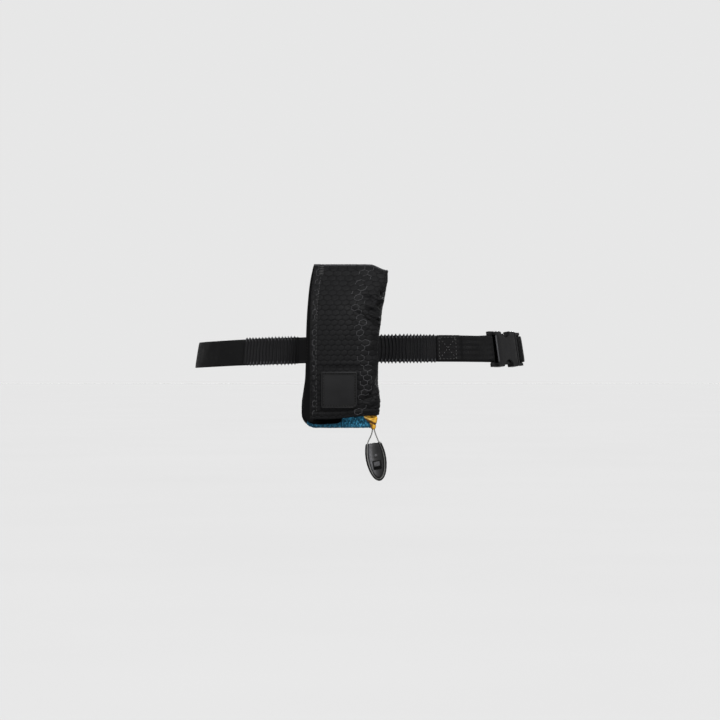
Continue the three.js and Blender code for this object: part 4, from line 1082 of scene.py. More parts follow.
def settled_cloth(start, rest, sewn, stop, moments=30):
    """A grid of cloth that has settled in front of a wall. rest is its shape when nothing presses on it."""
    faces = grid_faces(*start.shape[:2])
    cloth = new_object("cloth", start.reshape(-1, 3) * CLOTH_SCALE, faces)
    wall = new_object("wall", stop.reshape(-1, 3) * CLOTH_SCALE, faces)
    wall.modifiers.new("wall", "COLLISION")
    for key, value in WALL.items():
        setattr(wall.collision, key, value)
    cloth.vertex_groups.new(name="sewn").add(np.flatnonzero(sewn).tolist(), 1.0, "REPLACE")
    cloth.shape_key_add(name="basis")
    relaxed = cloth.shape_key_add(name="relaxed")
    relaxed.data.foreach_set("co", (rest * CLOTH_SCALE).ravel())
    folding = cloth.modifiers.new("folding", "CLOTH")
    for key, value in CLOTH.items():
        setattr(folding.settings, key, value)
    folding.settings.vertex_group_mass = "sewn"
    folding.settings.rest_shape_key = relaxed
    folding.settings.effector_weights.gravity = 0
    folding.collision_settings.distance_min = CLOTH_GAP
    folding.point_cache.frame_end = moments
    for moment in range(1, moments + 1):
        bpy.context.scene.frame_set(moment)
    shaped = cloth.evaluated_get(bpy.context.evaluated_depsgraph_get())
    settled = np.empty(start.size)
    shaped.data.vertices.foreach_get("co", settled)
    for body in (cloth, wall):
        bpy.data.objects.remove(body)
    bpy.context.scene.frame_set(1)
    return settled.reshape(start.shape) / CLOTH_SCALE


def dents(table, x, z, sharp):
    """Depth of folds that are given by place, direction, length, width and depth."""
    total = np.zeros_like(x)
    for fold_x, fold_z, angle, reach, width, depth in table:
        turn = math.radians(angle)
        along = (x - fold_x) * math.cos(turn) + (z - fold_z) * math.sin(turn)
        across = (z - fold_z) * math.cos(turn) - (x - fold_x) * math.sin(turn)
        fade = np.exp(-((2 * along / reach) ** 2))
        q = across / width
        valley = mix(np.exp(-((2 * q) ** 2)), 1.25 * np.exp(-np.abs(5 * q)), sharp)
        lip = 0.35 * bell(np.abs(q), 0.95, 0.35)
        total += depth * fade * (valley - lip)
    return total


def cell_shares(s, v, sizes):
    """Distances from the upright and the slanted outlines of a ripstop cell, as shares of its width."""
    x = (s - CELL_LEAN * v) / (sizes.cell_width / MM)
    y = v / (sizes.cell_pitch / MM) * math.sqrt(0.75)
    tall = math.sqrt(3)
    wrap = lambda value, period: np.mod(value + period / 2, period) - period / 2
    ax, ay = wrap(x, 1), wrap(y, tall)
    bx, by = wrap(x - 0.5, 1), wrap(y - tall / 2, tall)
    nearer = ax**2 + ay**2 < bx**2 + by**2
    gx, gy = np.abs(np.where(nearer, ax, bx)), np.abs(np.where(nearer, ay, by))
    return 0.5 - gx, 0.5 - (0.5 * gx + math.sqrt(0.75) * gy)


def bright_threads(front, sizes):
    """Outlines of the runs of cells that are woven with a bright thread."""
    width, pitch = sizes.cell_width / MM, sizes.cell_pitch / MM
    draw = np.random.default_rng(12)
    drawn, parts = set(), []
    for row in range(int(front.up[-1] / pitch) + 1):
        v = row * pitch
        middle, _ = front.place_of(np.interp(v + front.z[0], *np.transpose(BRIGHT_RUN)), v + front.z[0])
        offset, lean = 0.5 * (row % 2), CELL_LEAN * v
        wide = HEM_RUN["width"]
        runs = [(HEM_RUN["middle"] + (offset - 0.25) * wide, wide, HEM_RUN["gaps"], HEM_RUN["radius"])]
        for run in (middle, middle + CHAIN["spacing"]):
            cell = (round((run - lean) / width - offset) + offset) * width + lean
            runs.append((cell, width, CHAIN["gaps"], CHAIN["radius"]))
        for cell, wide, gaps, radius in runs:
            ends = [(cell + x * wide + CELL_LEAN * y * pitch, v + y * pitch) for x, y in CELL_CORNERS]
            for k in range(6):
                (s0, v0), (s1, v1) = ends[k], ends[(k + 1) % 6]
                key = (round((s0 + s1) / 2, 1), round((v0 + v1) / 2, 1))
                keep, thick = draw.uniform() > gaps, radius * (0.8 + 0.4 * draw.uniform())
                inside = min(s0, s1) > 0.4 and max(s0, s1) < front.across[-1] - 2
                inside &= min(v0, v1) > 0.5 and max(v0, v1) < front.up[-1] - 1
                if keep and inside and key not in drawn:
                    drawn.add(key)
                    t = np.linspace(0, 1, 6)
                    line, _ = front.at(mix(s0, s1, t), mix(v0, v1, t), 0.02)
                    parts.append(tube(line, np.full(6, thick), 6))
    return join(parts)


def hem_seams(front, sizes):
    """Seam down the left hem, and the bar tack at its top."""
    stitch, radius = sizes.stitch / MM, sizes.thread / MM / 2
    v = np.linspace(7, front.up[-1] - 12, 300)
    parts = stitch_row(*front.at(np.full(300, HEM_LINE), v), stitch, HEM_PITCH, radius)
    rows = np.linspace(front.up[-1] - 10.5, front.up[-1] - 1.5, 12)
    for k, level in enumerate(rows):
        s = np.linspace(4.2, 8.6, 20)
        parts += stitch_row(*front.at(s, np.full(20, level) + 0.4 * (k % 2)), 4.3, 6.0, radius * 1.1)
    return join(parts)


def top_binding(front):
    """Strip of cloth that closes the pouch's top, from the edge of its front over to the back."""
    edge = front.outer[:, -1]
    left, right = back_edges(np.array([BACK["head"]]))
    x = np.clip(edge[:, 0], left, right)
    drop = POUCH_TOP[0] * smoothstep(*POUCH_TOP[1:], x)
    far = stacked(x, POUCH_BACK_Y - 0.2, BACK["head"] - drop - 0.4)
    near = edge + np.array([0, 0.5, -0.5])
    t = np.linspace(0, 1, 9)[None, :, None]
    outer = mix(near[:, None], far[:, None], t) + np.sin(math.pi * t) * np.array([0, 0, 0.5])
    places = stacked(front.across[:, None], t[..., 0] * 5)
    return outer, outer - np.array([0, 0, 0.9]), places


def back_left(z):
    """Left outline of the pouch's back, over its round lower corner."""
    return curve_at(BACK_LEFT, 1, z)


def back_edges(z):
    """Left and right edge of the pouch's back at each height."""
    up = np.clip(z - BACK["foot"], 0, None)

    def drawn_in(radius):
        """How far a round lower corner draws its edge in."""
        return radius - np.sqrt(np.maximum(radius**2 - np.clip(radius - up, 0, None) ** 2, 0))

    levels = [z, z - POUCH_FOOT[0], z + POUCH_TOP[0]]
    lowest, highest = POUCH_LEVELS[0][0], POUCH_LEVELS[-1][0]
    right = np.min([pouch_level(np.clip(level, lowest, highest), RIGHT)[0] for level in levels], 0)
    left = back_left(z) + drawn_in(BACK["left_radius"])
    return left, right - BACK["room"] - drawn_in(BACK["right_radius"])


def rounded_foot(x, foot):
    """Lower left corner of the pouch, seen from the front."""
    radius = BACK["left_radius"]
    into = np.clip(back_left(foot) + radius - x, 0, radius - 0.2)
    return foot + radius - np.sqrt(radius**2 - into**2)


def side_points(columns, z, inset):
    """Left side: forward from the back's edge, round the corner and in under the hem."""
    start = POUCH_BACK_Y - BACK["thickness"] - GAP
    left, depth = pouch_level(z, LEFT, DEPTH)
    front = POUCH_BACK_Y - depth + SIDE["room"]
    radius = np.minimum(SIDE["radius"], (start - front) * SIDE["share"])
    turn_x, turn_y = left + SIDE["set_back"] + radius, front + radius
    wall, corner, tuck = (np.clip(columns - k, 0, 1) for k in range(3))
    angle = math.pi * (1 + corner / 2)
    reach = radius - inset
    wall_x = mix(back_left(z), turn_x - radius, wall) + inset
    x = np.where(columns <= 1, wall_x, turn_x + reach * np.cos(angle))
    y = np.where(columns <= 1, mix(start, turn_y, wall), turn_y + reach * np.sin(angle))
    x = np.where(columns > 2, turn_x + tuck * SIDE_TUCK["width"], x)
    y = np.where(columns > 2, front + inset, y)
    return stacked(x, y, z)


def front_face(x, z):
    """Smooth outer face of the front cloth."""
    left, right, depth, corner, crown = pouch_level(z, LEFT, RIGHT, DEPTH, CORNER, CROWN)
    t = (right - corner - x) / (right - corner - left)
    return POUCH_BACK_Y - depth - crown * np.sin(t * math.pi) ** 2 + dents(FOLDS, x, z, 0.3)


def rounded_rectangle(left, right, foot, head, radii, inset, steps=10):
    """Outline from the lower left corner round, with the radii of its corners in that order."""
    spots = []
    corners = ((left, foot, 1, 1), (right, foot, -1, 1), (right, head, -1, -1), (left, head, 1, -1))
    for k, ((x, z, dx, dz), radius) in enumerate(zip(corners, radii)):
        reach = max(radius - inset, 0.15)
        middle = np.array([x + dx * (inset + reach), z + dz * (inset + reach)])
        angle = math.pi * (1 + k / 2) + np.linspace(0, math.pi / 2, steps + 1)
        spots.append(middle + reach * stacked(np.cos(angle), np.sin(angle)))
        after = corners[(k + 1) % 4]
        next_radius = max(radii[(k + 1) % 4] - inset, 0.15)
        away = inset + next_radius
        aim = np.array([after[0] + after[2] * away, after[1] + after[3] * away])
        side = np.array([[0, -next_radius], [next_radius, 0], [0, next_radius], [-next_radius, 0]][k])
        t = np.linspace(0, 1, 24)[1:-1, None]
        spots.append(mix(spots[-1][-1], aim + side, t))
    return np.concatenate(spots)


# Solids of the buckle and toggle


def slab(outline, foot, head):
    """Flat outline of (x, y) points between two heights."""
    outline = np.asarray(outline, float)
    low = np.pad(outline, ((0, 0), (0, 1)), constant_values=foot)
    high = np.pad(outline, ((0, 0), (0, 1)), constant_values=head)
    return rings_solid([low, high])


def box(x0, x1, y0, y1, z0, z1):
    return slab(((x0, y0), (x1, y0), (x1, y1), (x0, y1)), z0, z1)


def rounded_box(x0, x1, y0, y1, z0, z1, radius):
    return slab(rounded_rectangle(x0, x1, y0, y1, (radius,) * 4, 0, 5), z0, z1)


def oval(x, y, half_x, half_y, z0, z1, steps=56):
    angle = np.linspace(0, 2 * math.pi, steps, endpoint=False)
    return slab(stacked(x + half_x * np.cos(angle), y + half_y * np.sin(angle)), z0, z1)


def bar_rod(x, half):
    path = stacked(x, np.linspace(-half, half, 9), BAR["z"])
    points, faces = tube(path, np.full(9, BAR["radius"]), 24)
    return points, facing_out(points, faces)


def carved(base, joins, cuts, bevel=0.0):
    """Points and faces of a solid after its joins and cuts, its edges rounded by a bevel if it has one."""
    body = new_object("carved", *base)
    tools = []
    for shapes, operation in ((joins, "UNION"), (cuts, "DIFFERENCE")):
        for shape in shapes:
            tool = new_object("tool", *shape)
            modifier = body.modifiers.new(operation, "BOOLEAN")
            modifier.operation = operation
            modifier.object = tool
            modifier.solver = "EXACT"
            tools.append(tool)
    weld = body.modifiers.new("weld", "WELD")
    weld.merge_threshold = 0.01
    if bevel:
        rounding = body.modifiers.new("bevel", "BEVEL")
        rounding.width = bevel
        rounding.segments = 3
        rounding.limit_method = "ANGLE"
        rounding.angle_limit = math.radians(35)
        rounding.use_clamp_overlap = True
    bpy.context.view_layer.update()
    mesh = bpy.data.meshes.new_from_object(body.evaluated_get(bpy.context.evaluated_depsgraph_get()))
    points = np.array([v.co[:] for v in mesh.vertices])
    faces = [list(p.vertices) for p in mesh.polygons]
    for spare in [body, *tools]:
        bpy.data.objects.remove(spare)
    return points, faces


def add_moulded(name, parts, place, finish, slot, replaces):
    """A moulded piece from carved parts, each a (points, faces), moved by place."""
    points, faces, first = [], [], 0
    for spots, polygons in parts:
        points.append(place(spots))
        faces += [[corner + first for corner in face] for face in polygons]
        first += len(spots)
    return add_piece(name, (np.concatenate(points), faces), finish, slot, replaces, sharp=SHARP_ANGLE)


def teardrop(inset, top_inset=0.0):
    """Outline of the toggle, drawn in by an inset. The last points run along its top edge."""
    wide, top, widest = TEARDROP["half"], TEARDROP["top"], TEARDROP["widest"]
    t = np.linspace(0, 1, 15)[:-1]
    upper = stacked(mix(wide, top, (1 - t) ** 2) - inset, -top_inset - t * (widest - top_inset))
    angle = np.linspace(0, math.pi / 2, 27)
    reach = TEARDROP["length"] - inset - widest
    lower = stacked((wide - inset) * np.cos(angle), -widest - reach * np.sin(angle))
    right = np.concatenate([upper, lower])
    left = right[::-1][1:] * (-1, 1)
    edge = stacked(np.linspace(left[-1][0], right[0][0], TEARDROP_EDGE + 2)[1:-1], -top_inset)
    return np.concatenate([right, left, edge])


def in_toggle(points):
    """Points of the toggle's own frame, in the pack's."""
    x, y, z = np.asarray(points, float).T
    cos, sin = math.cos(TOGGLE_TILT), math.sin(TOGGLE_TILT)
    return stacked(x * cos - y * sin, -z, x * sin + y * cos) + np.array(TOGGLE_PLACE)


def cord_line():
    """The cord's middle line, close points on a smooth curve through its route."""
    route = np.array([(x, CORD_Y, z) for x, z in CORD_ROUTE])
    reach = travel(route)
    return through(reach, route, np.linspace(0, reach[-1], 620))


# Operators


class BELTPACK_OT_stage(Operator):
    """Adds the camera, the lights and the pale floor"""

    bl_idname = "beltpack.stage"
    bl_label = "Stage"

    def execute(self, context):
        scene = context.scene
        lens = bpy.data.cameras.new("camera")
        lens.lens = CAMERA["lens"]
        lens.sensor_width = CAMERA["sensor"]
        lens.clip_end = CAMERA["far"]
        camera = bpy.data.objects.new("camera", lens)
        camera.location = CAMERA["place"]
        camera.rotation_euler = (math.pi / 2, 0, 0)
        scene.collection.objects.link(camera)
        scene.camera = camera
        for name, (kind, energy, spread, place) in LIGHTS.items():
            light = bpy.data.lights.new(name, kind)
            light.energy = energy
            if kind == "SUN":
                light.angle = math.radians(spread)
            else:
                light.size = spread
            lamp = bpy.data.objects.new(name, light)
            lamp.location = place
            x, y, z = place
            lamp.rotation_euler = (math.atan2(math.hypot(x, y), z), 0, math.atan2(x, -y))
            scene.collection.objects.link(lamp)
        world = bpy.data.worlds.new("studio")
        world.use_nodes = True
        background = world.node_tree.nodes["Background"]
        background.inputs["Color"].default_value = (1, 1, 1, 1)
        background.inputs["Strength"].default_value = WORLD_LIGHT
        scene.world = world
        scene.view_settings.view_transform = "Standard"
        corners = ((-1, -1), (1, -1), (1, 1), (-1, 1))
        points = np.array([(x * FLOOR["reach"], y * FLOOR["reach"], FLOOR["z"]) for x, y in corners])
        floor = new_object("floor", points, [(0, 1, 2, 3)])
        floor.data.materials.append(floor_finish(scene.belt_pack_colours))
        floor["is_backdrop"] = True
        return {"FINISHED"}


class BELTPACK_OT_pull_cord(Operator):
    """Makes the braided pull cord, one loop from the bladder's corner round the toggle"""

    bl_idname = "beltpack.pull_cord"
    bl_label = "Pull cord"

    def execute(self, context):
        sizes = context.scene.belt_pack_sizes
        diameter = sizes.cord / MM
        path = cord_line()
        reach = travel(path)
        sides = 16

        def braid(angles, k):
            one = np.cos(4 * angles + reach[k] * 5.0)
            other = np.cos(4 * angles - reach[k] * 5.0)
            return 1 + 0.10 * np.maximum(one, other) - 0.04

        points, faces = tube(path, np.full(len(path), diameter / 2), sides, braid)
        faces = facing_out(points, faces)
        round_it = np.tile(np.arange(sides) / sides * math.pi * diameter, len(path))
        places = stacked(np.r_[round_it, 0, 0], np.r_[np.repeat(reach, sides), 0, reach[-1]])
        finish = cord_finish(context.scene.belt_pack_colours)
        piece = add_piece("pull_cord_braid", (points, faces), finish, "cord", ["pull_cord"], places)
        line = path * MM
        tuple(line[0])
        return {"FINISHED"}


class BELTPACK_OT_toggle(Operator):
    """Makes the teardrop pull toggle: a shell with a rim, and the plate set into it"""

    bl_idname = "beltpack.toggle"
    bl_label = "Toggle"

    def execute(self, context):
        colours = context.scene.belt_pack_colours
        finish = plastic_finish("toggle_plastic", shade(colours.plastic, 1.2), 0.30, 0.09)
        shell_profile = (
            (5.0, -3.6), (2.4, -3.6), (1.1, -3.55), (0.55, -3.3), (0.16, -2.9), (0, -2.4), (0, 0), (0, 1.6),
            (0.10, 2.1), (0.30, 2.42), (0.55, 2.5), (0.75, 2.38), (0.85, 2.0), (0.92, 0.6), (1.0, -0.2),
            (1.25, -0.46), (1.6, -0.5), (3.4, -0.5), (5.0, -0.5),
        )
        floor = -0.5
        rings = []
        for inset, height in shell_profile:
            outline = teardrop(inset, min(inset, 0.8) * (0.6 if height < floor else 0.2))
            tall = np.full(len(outline), float(height))
            if height > floor:
                tall[-TEARDROP_EDGE:] = floor
                tall[0] = tall[-TEARDROP_EDGE - 1] = floor
            rings.append(np.column_stack([outline, tall]))
        foot = WINDOW["y"] - WINDOW["half_height"]
        slot_half, slot_head = WINDOW["slot_half"], foot + WINDOW["slot"]
        well = rounded_box(-slot_half, slot_half, foot, slot_head, -3.0, 2, 0.4)
        body = carved(rings_solid(rings), [], [well])
        add_moulded("toggle_body", [body], in_toggle, finish, "toggle", ["toggle_shell"])
        plate_profile = (
            (5.0, -0.1), (3.5, -0.1), (3.2, 0.1), (3.1, 0.5), (3.1, 2.4), (3.2, 2.85), (3.45, 3.15),
            (3.8, 3.3), (4.4, 3.36), (5.2, 3.42), (6.0, 3.46), (6.7, 3.5),
        )
        rings = []
        for inset, height in plate_profile:
            outline = teardrop(inset, max(inset - 3.1, 0))
            crown = 1.1 * ((outline[:, 0] - 3.0) / 6.7) ** 2 if height > 2 else 0.0
            rings.append(np.column_stack([outline, np.full(len(outline), height + 0.3) - crown]))
        y = WINDOW["y"]
        half, tall = WINDOW["half_width"], WINDOW["half_height"]
        recess = rounded_box(-half, half, y - tall, y + tall, 3.4 - WINDOW["depth"], 5, 0.7)
        slot = rounded_box(-slot_half, slot_half, foot, slot_head, -2, 5, 0.4)
        tab = rounded_box(-2.9, 2.9, slot_head + 0.5, y + tall - 1.2, 0.5, 3.2, 0.6)
        dome = ((1.5, 2.4), (1.5, 3.75), (1.4, 4.15), (1.15, 4.5), (0.8, 4.72), (0.4, 4.84))
        angle = np.linspace(0, 2 * math.pi, PIN["sides"], endpoint=False)
        pin = rings_solid([
            stacked(wide * np.cos(angle), wide * np.sin(angle) + PIN["y"], height) for wide, height in dome
        ])
        plate = carved(rings_solid(rings), [pin], [recess, slot], 0.16)
        key = carved(tab, [], [], 0.3)
        tint = shade(colours.plastic, 0.9)
        # The plate carries a painted highlight on its left side, pin and tab
        face = plastic_finish("toggle_face_plastic", tint, 0.36, 0.22, grit=0.06, wear_and_highlight=22.0)
        add_moulded("toggle_face", [plate, key], in_toggle, face, "toggle", ["toggle_plate"])
        return {"FINISHED"}


class BELTPACK_OT_pouch_front(Operator):
    """Makes the pouch's front: crumpled ripstop with hems, bright threads and seams"""

    bl_idname = "beltpack.pouch_front"
    bl_label = "Pouch front"

    def execute(self, context):
        sizes, colours = context.scene.belt_pack_sizes, context.scene.belt_pack_colours
        front = PouchFront(sizes)
        s, v = np.broadcast_arrays(front.across[:, None], front.up[None])
        hem = np.maximum(1 - smoothstep(5.5, 6.6, s), 1 - smoothstep(5.6, 6.4, v))
        cloth = sizes.front_cloth / MM + 0.8 * hem
        inner = front.outer - front.away * cloth[..., None]
        finish = ripstop_finish(sizes, colours, float(front.up[-1]))
        places = stacked(s, v)
        panel = add_sheet("pouch_panel", front.outer, inner, places, finish, "ripstop", ["pouch_front"])
        bright = thread_finish("bright_thread", colours.bright_thread, 0.45)
        threads = add_piece("ripstop_threads", bright_threads(front, sizes), bright, "ripstop")
        thread = thread_finish("seam_thread", colours.seam_thread)
        seams = add_piece("hem_seams", hem_seams(front, sizes), thread, "ripstop")
        plain = cloth_finish("top_cloth", colours.plain_cloth)
        binding = add_sheet("top_binding", *top_binding(front), plain, "plain_cloth")
        return {"FINISHED"}


class BELTPACK_OT_pouch_shell(Operator):
    """Makes the plain side and back of the pouch"""

    bl_idname = "beltpack.pouch_shell"
    bl_label = "Pouch side and back"

    def execute(self, context):
        sizes, colours = context.scene.belt_pack_sizes, context.scene.belt_pack_colours
        finish = cloth_finish("plain_cloth", colours.plain_cloth)
        wall, corner, tuck = np.linspace(0, 1, 30), np.linspace(1, 2, 13), np.linspace(2, 3, 9)
        columns = np.r_[wall[:-1], corner[:-1], tuck][:, None]
        share = np.linspace(0, 1, 110)[None]
        edge_x = side_points(columns[:, 0], np.full(len(columns), FLAP["foot"]), 0.0)[:, 0]
        edge = rounded_foot(edge_x, FLAP["foot"]) + SIDE["over_flap"]
        drawn_up = SIDE_TUCK["rise"] * smoothstep(1, 2, columns[:, 0])
        z = mix((edge + drawn_up)[:, None], SIDE["head"], share)
        outer = side_points(columns, z, 0.0)
        inner = side_points(columns, z, SIDE["cloth"])
        free = smoothstep(0, 0.25, columns) * smoothstep(1.3, 0.8, columns)
        ripple = soft_noise(columns * 2.4, z / 14, 21) * free
        for face in (outer, inner):
            face[..., 0] += ripple
        places = stacked(columns * 24.0, z)
        side = add_sheet("pouch_gusset", outer, inner, places, finish, "plain_cloth", ["pouch_side"])
        back = self.back(finish)
        thread = thread_finish("back_thread", shade(colours.seam_thread, 0.5))
        add_piece("back_seam", self.back_seam(sizes), thread, "plain_cloth")
        return {"FINISHED"}

    @staticmethod
    def back_face(across, z):
        left, right = back_edges(z)
        x = mix(left, right, across)
        share = (z - BACK["foot"]) / (BACK["head"] - BACK["foot"])
        drop = POUCH_TOP[0] * smoothstep(*POUCH_TOP[1:], x) * share**EDGE_FADE
        return x, z - drop

    def back(self, finish):
        across = (0.5 - 0.5 * np.cos(np.linspace(0, math.pi, 60)))[:, None]
        z = mix(BACK["foot"], BACK["head"], (np.linspace(0, 1, 110) ** 1.25))[None]
        x, level = self.back_face(across, z)
        left, right = back_edges(z)
        inset = np.minimum(np.minimum(x - left, right - x), np.minimum(z - BACK["foot"], BACK["head"] - z))
        seam = -0.35 * bell(inset, 4, 0.8)
        quilt = 0.25 * smoothstep(4, 12, inset) + 0.2 * soft_noise(x / 16, z / 20, 31)
        outer = stacked(x, POUCH_BACK_Y - BACK["thickness"], level)
        inner = stacked(x, POUCH_BACK_Y - 0.35 + seam + np.minimum(quilt, 0.3), level)
        places = stacked(x, level)
        return add_sheet("pouch_backing", outer, inner, places, finish, "plain_cloth", ["pouch_back"])

    @staticmethod
    def back_seam(sizes):
        """Stitches inside the edge of the back, on its hidden face, and down the rear of the side."""
        stitch, pitch, radius = sizes.stitch / MM, 3.0, 0.22
        z = np.linspace(BACK["foot"] + 9, BACK["head"] - 9, 200)
        left, right = back_edges(z)
        parts = []
        for x in (left + 4, right - 4):
            spots = stacked(x, POUCH_BACK_Y - 0.55, z)
            parts += stitch_row(spots, np.tile((0.0, 1.0, 0.0), (200, 1)), stitch, pitch, radius, 0.0)
        z = np.linspace(SIDE["over_flap"] + FLAP["foot"] + 14, SIDE["head"] - 3, 200)
        before, spots, after = (side_points(np.full(200, column), z, 0.0) for column in (0.10, 0.13, 0.16))
        normals = unit(np.cross(after - before, (0.0, 0.0, 1.0)))
        normals = normals * -np.sign(normals[:, :1])
        parts += stitch_row(spots, normals, stitch, pitch, radius, 0.05)
        return join(parts)


class BELTPACK_OT_lining(Operator):
    """Makes the blue lining flap that closes the pouch's bottom"""

    bl_idname = "beltpack.lining"
    bl_label = "Lining flap"

    def execute(self, context):
        colours = context.scene.belt_pack_colours
        across = np.unique(np.r_[np.linspace(FLAP["left"], FLAP["right"], 130), FLAP_STEP])
        back = POUCH_BACK_Y - BACK["thickness"] - GAP
        front = back - FLAP["reach"]
        foot = rounded_foot(across, FLAP["foot"])
        bend = FLAP["bend"]
        lip = np.maximum(curve_at(FLAP_LIP, 1, across), bend + 0.2)
        turn = [(math.sin(a), math.cos(a)) for a in np.linspace(0, math.pi / 2, 8)]
        profiles = []
        for inset in (0.0, FLAP["cloth"]):
            reach = bend - inset
            rows = [(back - inset, foot + rise) for rise in np.linspace(FLAP["back_rise"], bend + 0.2, 6)]
            rows += [(back - bend + reach * cos, foot + bend - reach * sin) for sin, cos in turn]
            rows += [(mix(back - bend, front + bend, t), foot + inset) for t in np.linspace(0, 1, 26)[1:-1]]
            rows += [(front + bend - reach * sin, foot + bend - reach * cos) for sin, cos in turn]
            rows += [(front + inset, foot + mix(bend, lip, t)) for t in np.linspace(0, 1, 18)[1:]]
            profiles.append(np.stack([stacked(across, y, z) for y, z in rows], 1))
        outer, inner = profiles
        v = np.r_[0, np.cumsum(np.linalg.norm(np.diff(outer, axis=1), axis=2).mean(0))]
        s, v = np.broadcast_arrays(across[:, None], v[None])
        pile = 0.28 * soft_noise(s / 1.1, v / 1.1, 51) + 0.22 * soft_noise(s / 4.5, v / 3.5, 52)
        away = grid_normals(outer)
        if away[60, 30, 2] > 0:
            away = -away
        outer = outer + away * np.clip(pile, -0.3, 0.25)[..., None]
        finish = lining_finish(colours)
        flap = add_sheet("lining", outer, inner, stacked(s, v), finish, "lining", ["lining_flap"])
        return {"FINISHED"}


class BELTPACK_OT_bladder(Operator):
    """Makes the folded bladder and the corner of it that hangs out"""

    bl_idname = "beltpack.bladder"
    bl_label = "Bladder"

    def execute(self, context):
        colours = context.scene.belt_pack_colours
        shapes, places = [], []
        for outer, inner, cloth in (self.folds(), self.corner(), self.tab()):
            points, faces, flat = shell(outer, inner, cloth)
            shapes.append((points, faces))
            places.append(flat)
        finish, places = bladder_finish(colours), np.concatenate(places)
        piece = add_piece("bladder_folds", join(shapes), finish, "bladder", ["bladder"], places)
        return {"FINISHED"}

    @staticmethod
    def folds():
        """One sheet folded to and fro, a little uneven in each layer."""
        path = []
        for layer in range(BLADDER["layers"]):
            way = 1 if layer % 2 == 0 else -1
            path += [(way * t, layer) for t in np.linspace(-1, 1, 25)]
            if layer < BLADDER["layers"] - 1:
                for angle in np.linspace(0, math.pi, 10)[1:-1]:
                    across = way * (1 + BLADDER_SWELL * math.sin(angle))
                    path.append((across, layer + (1 - math.cos(angle)) / 2))
        path = np.array(path)
        z = np.linspace(BLADDER["foot"], BLADDER["head"], 40)
        left, right, depth = pouch_level(z, LEFT, RIGHT, DEPTH)
        half = (right - left) / 2 - BLADDER["side"]
        pitch = (depth - BLADDER["front"]) / (BLADDER["layers"] - 1)
        x = (left + right) / 2 + path[:, 0, None] * half
        y = POUCH_BACK_Y - BACK["thickness"] - BLADDER["back"] - pitch * path[:, 1, None]
        middle = stacked(x, y, z)
        away = grid_normals(middle)
        s, v = np.broadcast_arrays(travel(middle[:, 20])[:, None], z[None])
        middle = middle + away * (0.35 * soft_noise(s / 9, v / 12, 61))[..., None]
        half_cloth = away * BLADDER["cloth"] / 2
        return middle + half_cloth, middle - half_cloth, stacked(s, v)

    @staticmethod
    def corner():
        """The corner that hangs out: cloth drawn to a point, with a fold down its middle."""
        z = np.linspace(*CORNER_SPAN, 90)
        left, right, fold = (curve_at(BLADDER_CORNER, c, z) for c in (1, 2, 3))
        x = mix(left, right, np.linspace(0, 1, 56)[:, None])
        y = CORNER_RIDGE + 0.5 * np.maximum(fold - x, 0) + 0.2 * np.maximum(x - fold, 0)
        y = y + 1.5 * smoothstep(-66.4, -65.2, z)
        y = y + 1.8 * bell(z + CREASE["slope"] * (x - 14.5), -70.6, 0.6)
        pleat = 1 - smoothstep(*PLEAT_STEP, z + PLEAT_SLOPE * x)
        y = y + 0.9 * pleat * (1 - smoothstep(13.0, 15.5, x)) + 0.2 * soft_noise(x / 2.5, z / 3, 71)
        outer = stacked(x, np.minimum(y, CORNER_BACK - 0.7), z)
        return outer, stacked(x, CORNER_BACK, z), stacked(x, z)

    @staticmethod
    def tab():
        """Small folded tab at the tip, which takes the cord."""
        z = np.linspace(*TAB_SPAN, 24)
        share = np.linspace(0, 1, 24)
        half = 2.0 - 0.5 * bell(share, 0, 0.12)
        across = np.linspace(-1, 1, 18)[:, None]
        x = mix(*TAB_MIDDLE, share) + across * half
        bow = np.sqrt(np.maximum(1 - across**2, 0.02)) * 0.8
        y = CORNER_FRONT - 0.2 - bow + 0.7 * bell(across, -0.25, 0.16)
        return stacked(x, y, z), stacked(x, CORNER_FRONT + 0.5, z), stacked(x, z)


class BELTPACK_OT_patch(Operator):
    """Makes the bare rubber patch, with its raised rim and stitches"""

    bl_idname = "beltpack.patch"
    bl_label = "Patch"

    def execute(self, context):
        colours = context.scene.belt_pack_colours
        sides = (PATCH["left"], PATCH["right"], PATCH["foot"], PATCH["head"])
        profile = (
            (0.6, 0.2), (0.1, 0.25), (0, 0.5), (0, 1.4), (0.12, 1.75), (0.4, 1.95), (0.9, 1.98),
            (1.15, 1.85), (1.4, 1.62), (1.8, 1.5), (2.6, 1.48), (3.6, 1.55), (5.5, 1.62), (8.5, 1.68),
            (12, 1.7), (15, 1.72),
        )
        rings = []
        for inset, lift in profile:
            x, z = rounded_rectangle(*sides, PATCH["radii"], inset).T
            rings.append(stacked(x, front_face(x, z) - lift, z))
        insets = [inset for inset, _ in profile]
        places = np.r_[np.repeat(insets, len(rings[0])), 0, insets[-1]][:, None]
        add_piece("rubber_patch", rings_solid(rings), rubber_finish(colours), "rubber", ["patch"], places)
        x, z = rounded_rectangle(*sides, PATCH["radii"], 2.0).T
        x, z = np.r_[x, x[0]], np.r_[z, z[0]]
        spots = stacked(x, front_face(x, z) - 1.5, z)
        normals = np.tile((0.0, -1.0, 0.0), (len(spots), 1))
        seam = join(stitch_row(spots, normals, 1.4, 2.6, 0.38, 0.05))
        thread = thread_finish("patch_thread", shade(colours.seam_thread, 0.42))
        add_piece("patch_seam", seam, thread, "rubber")
        return {"FINISHED"}


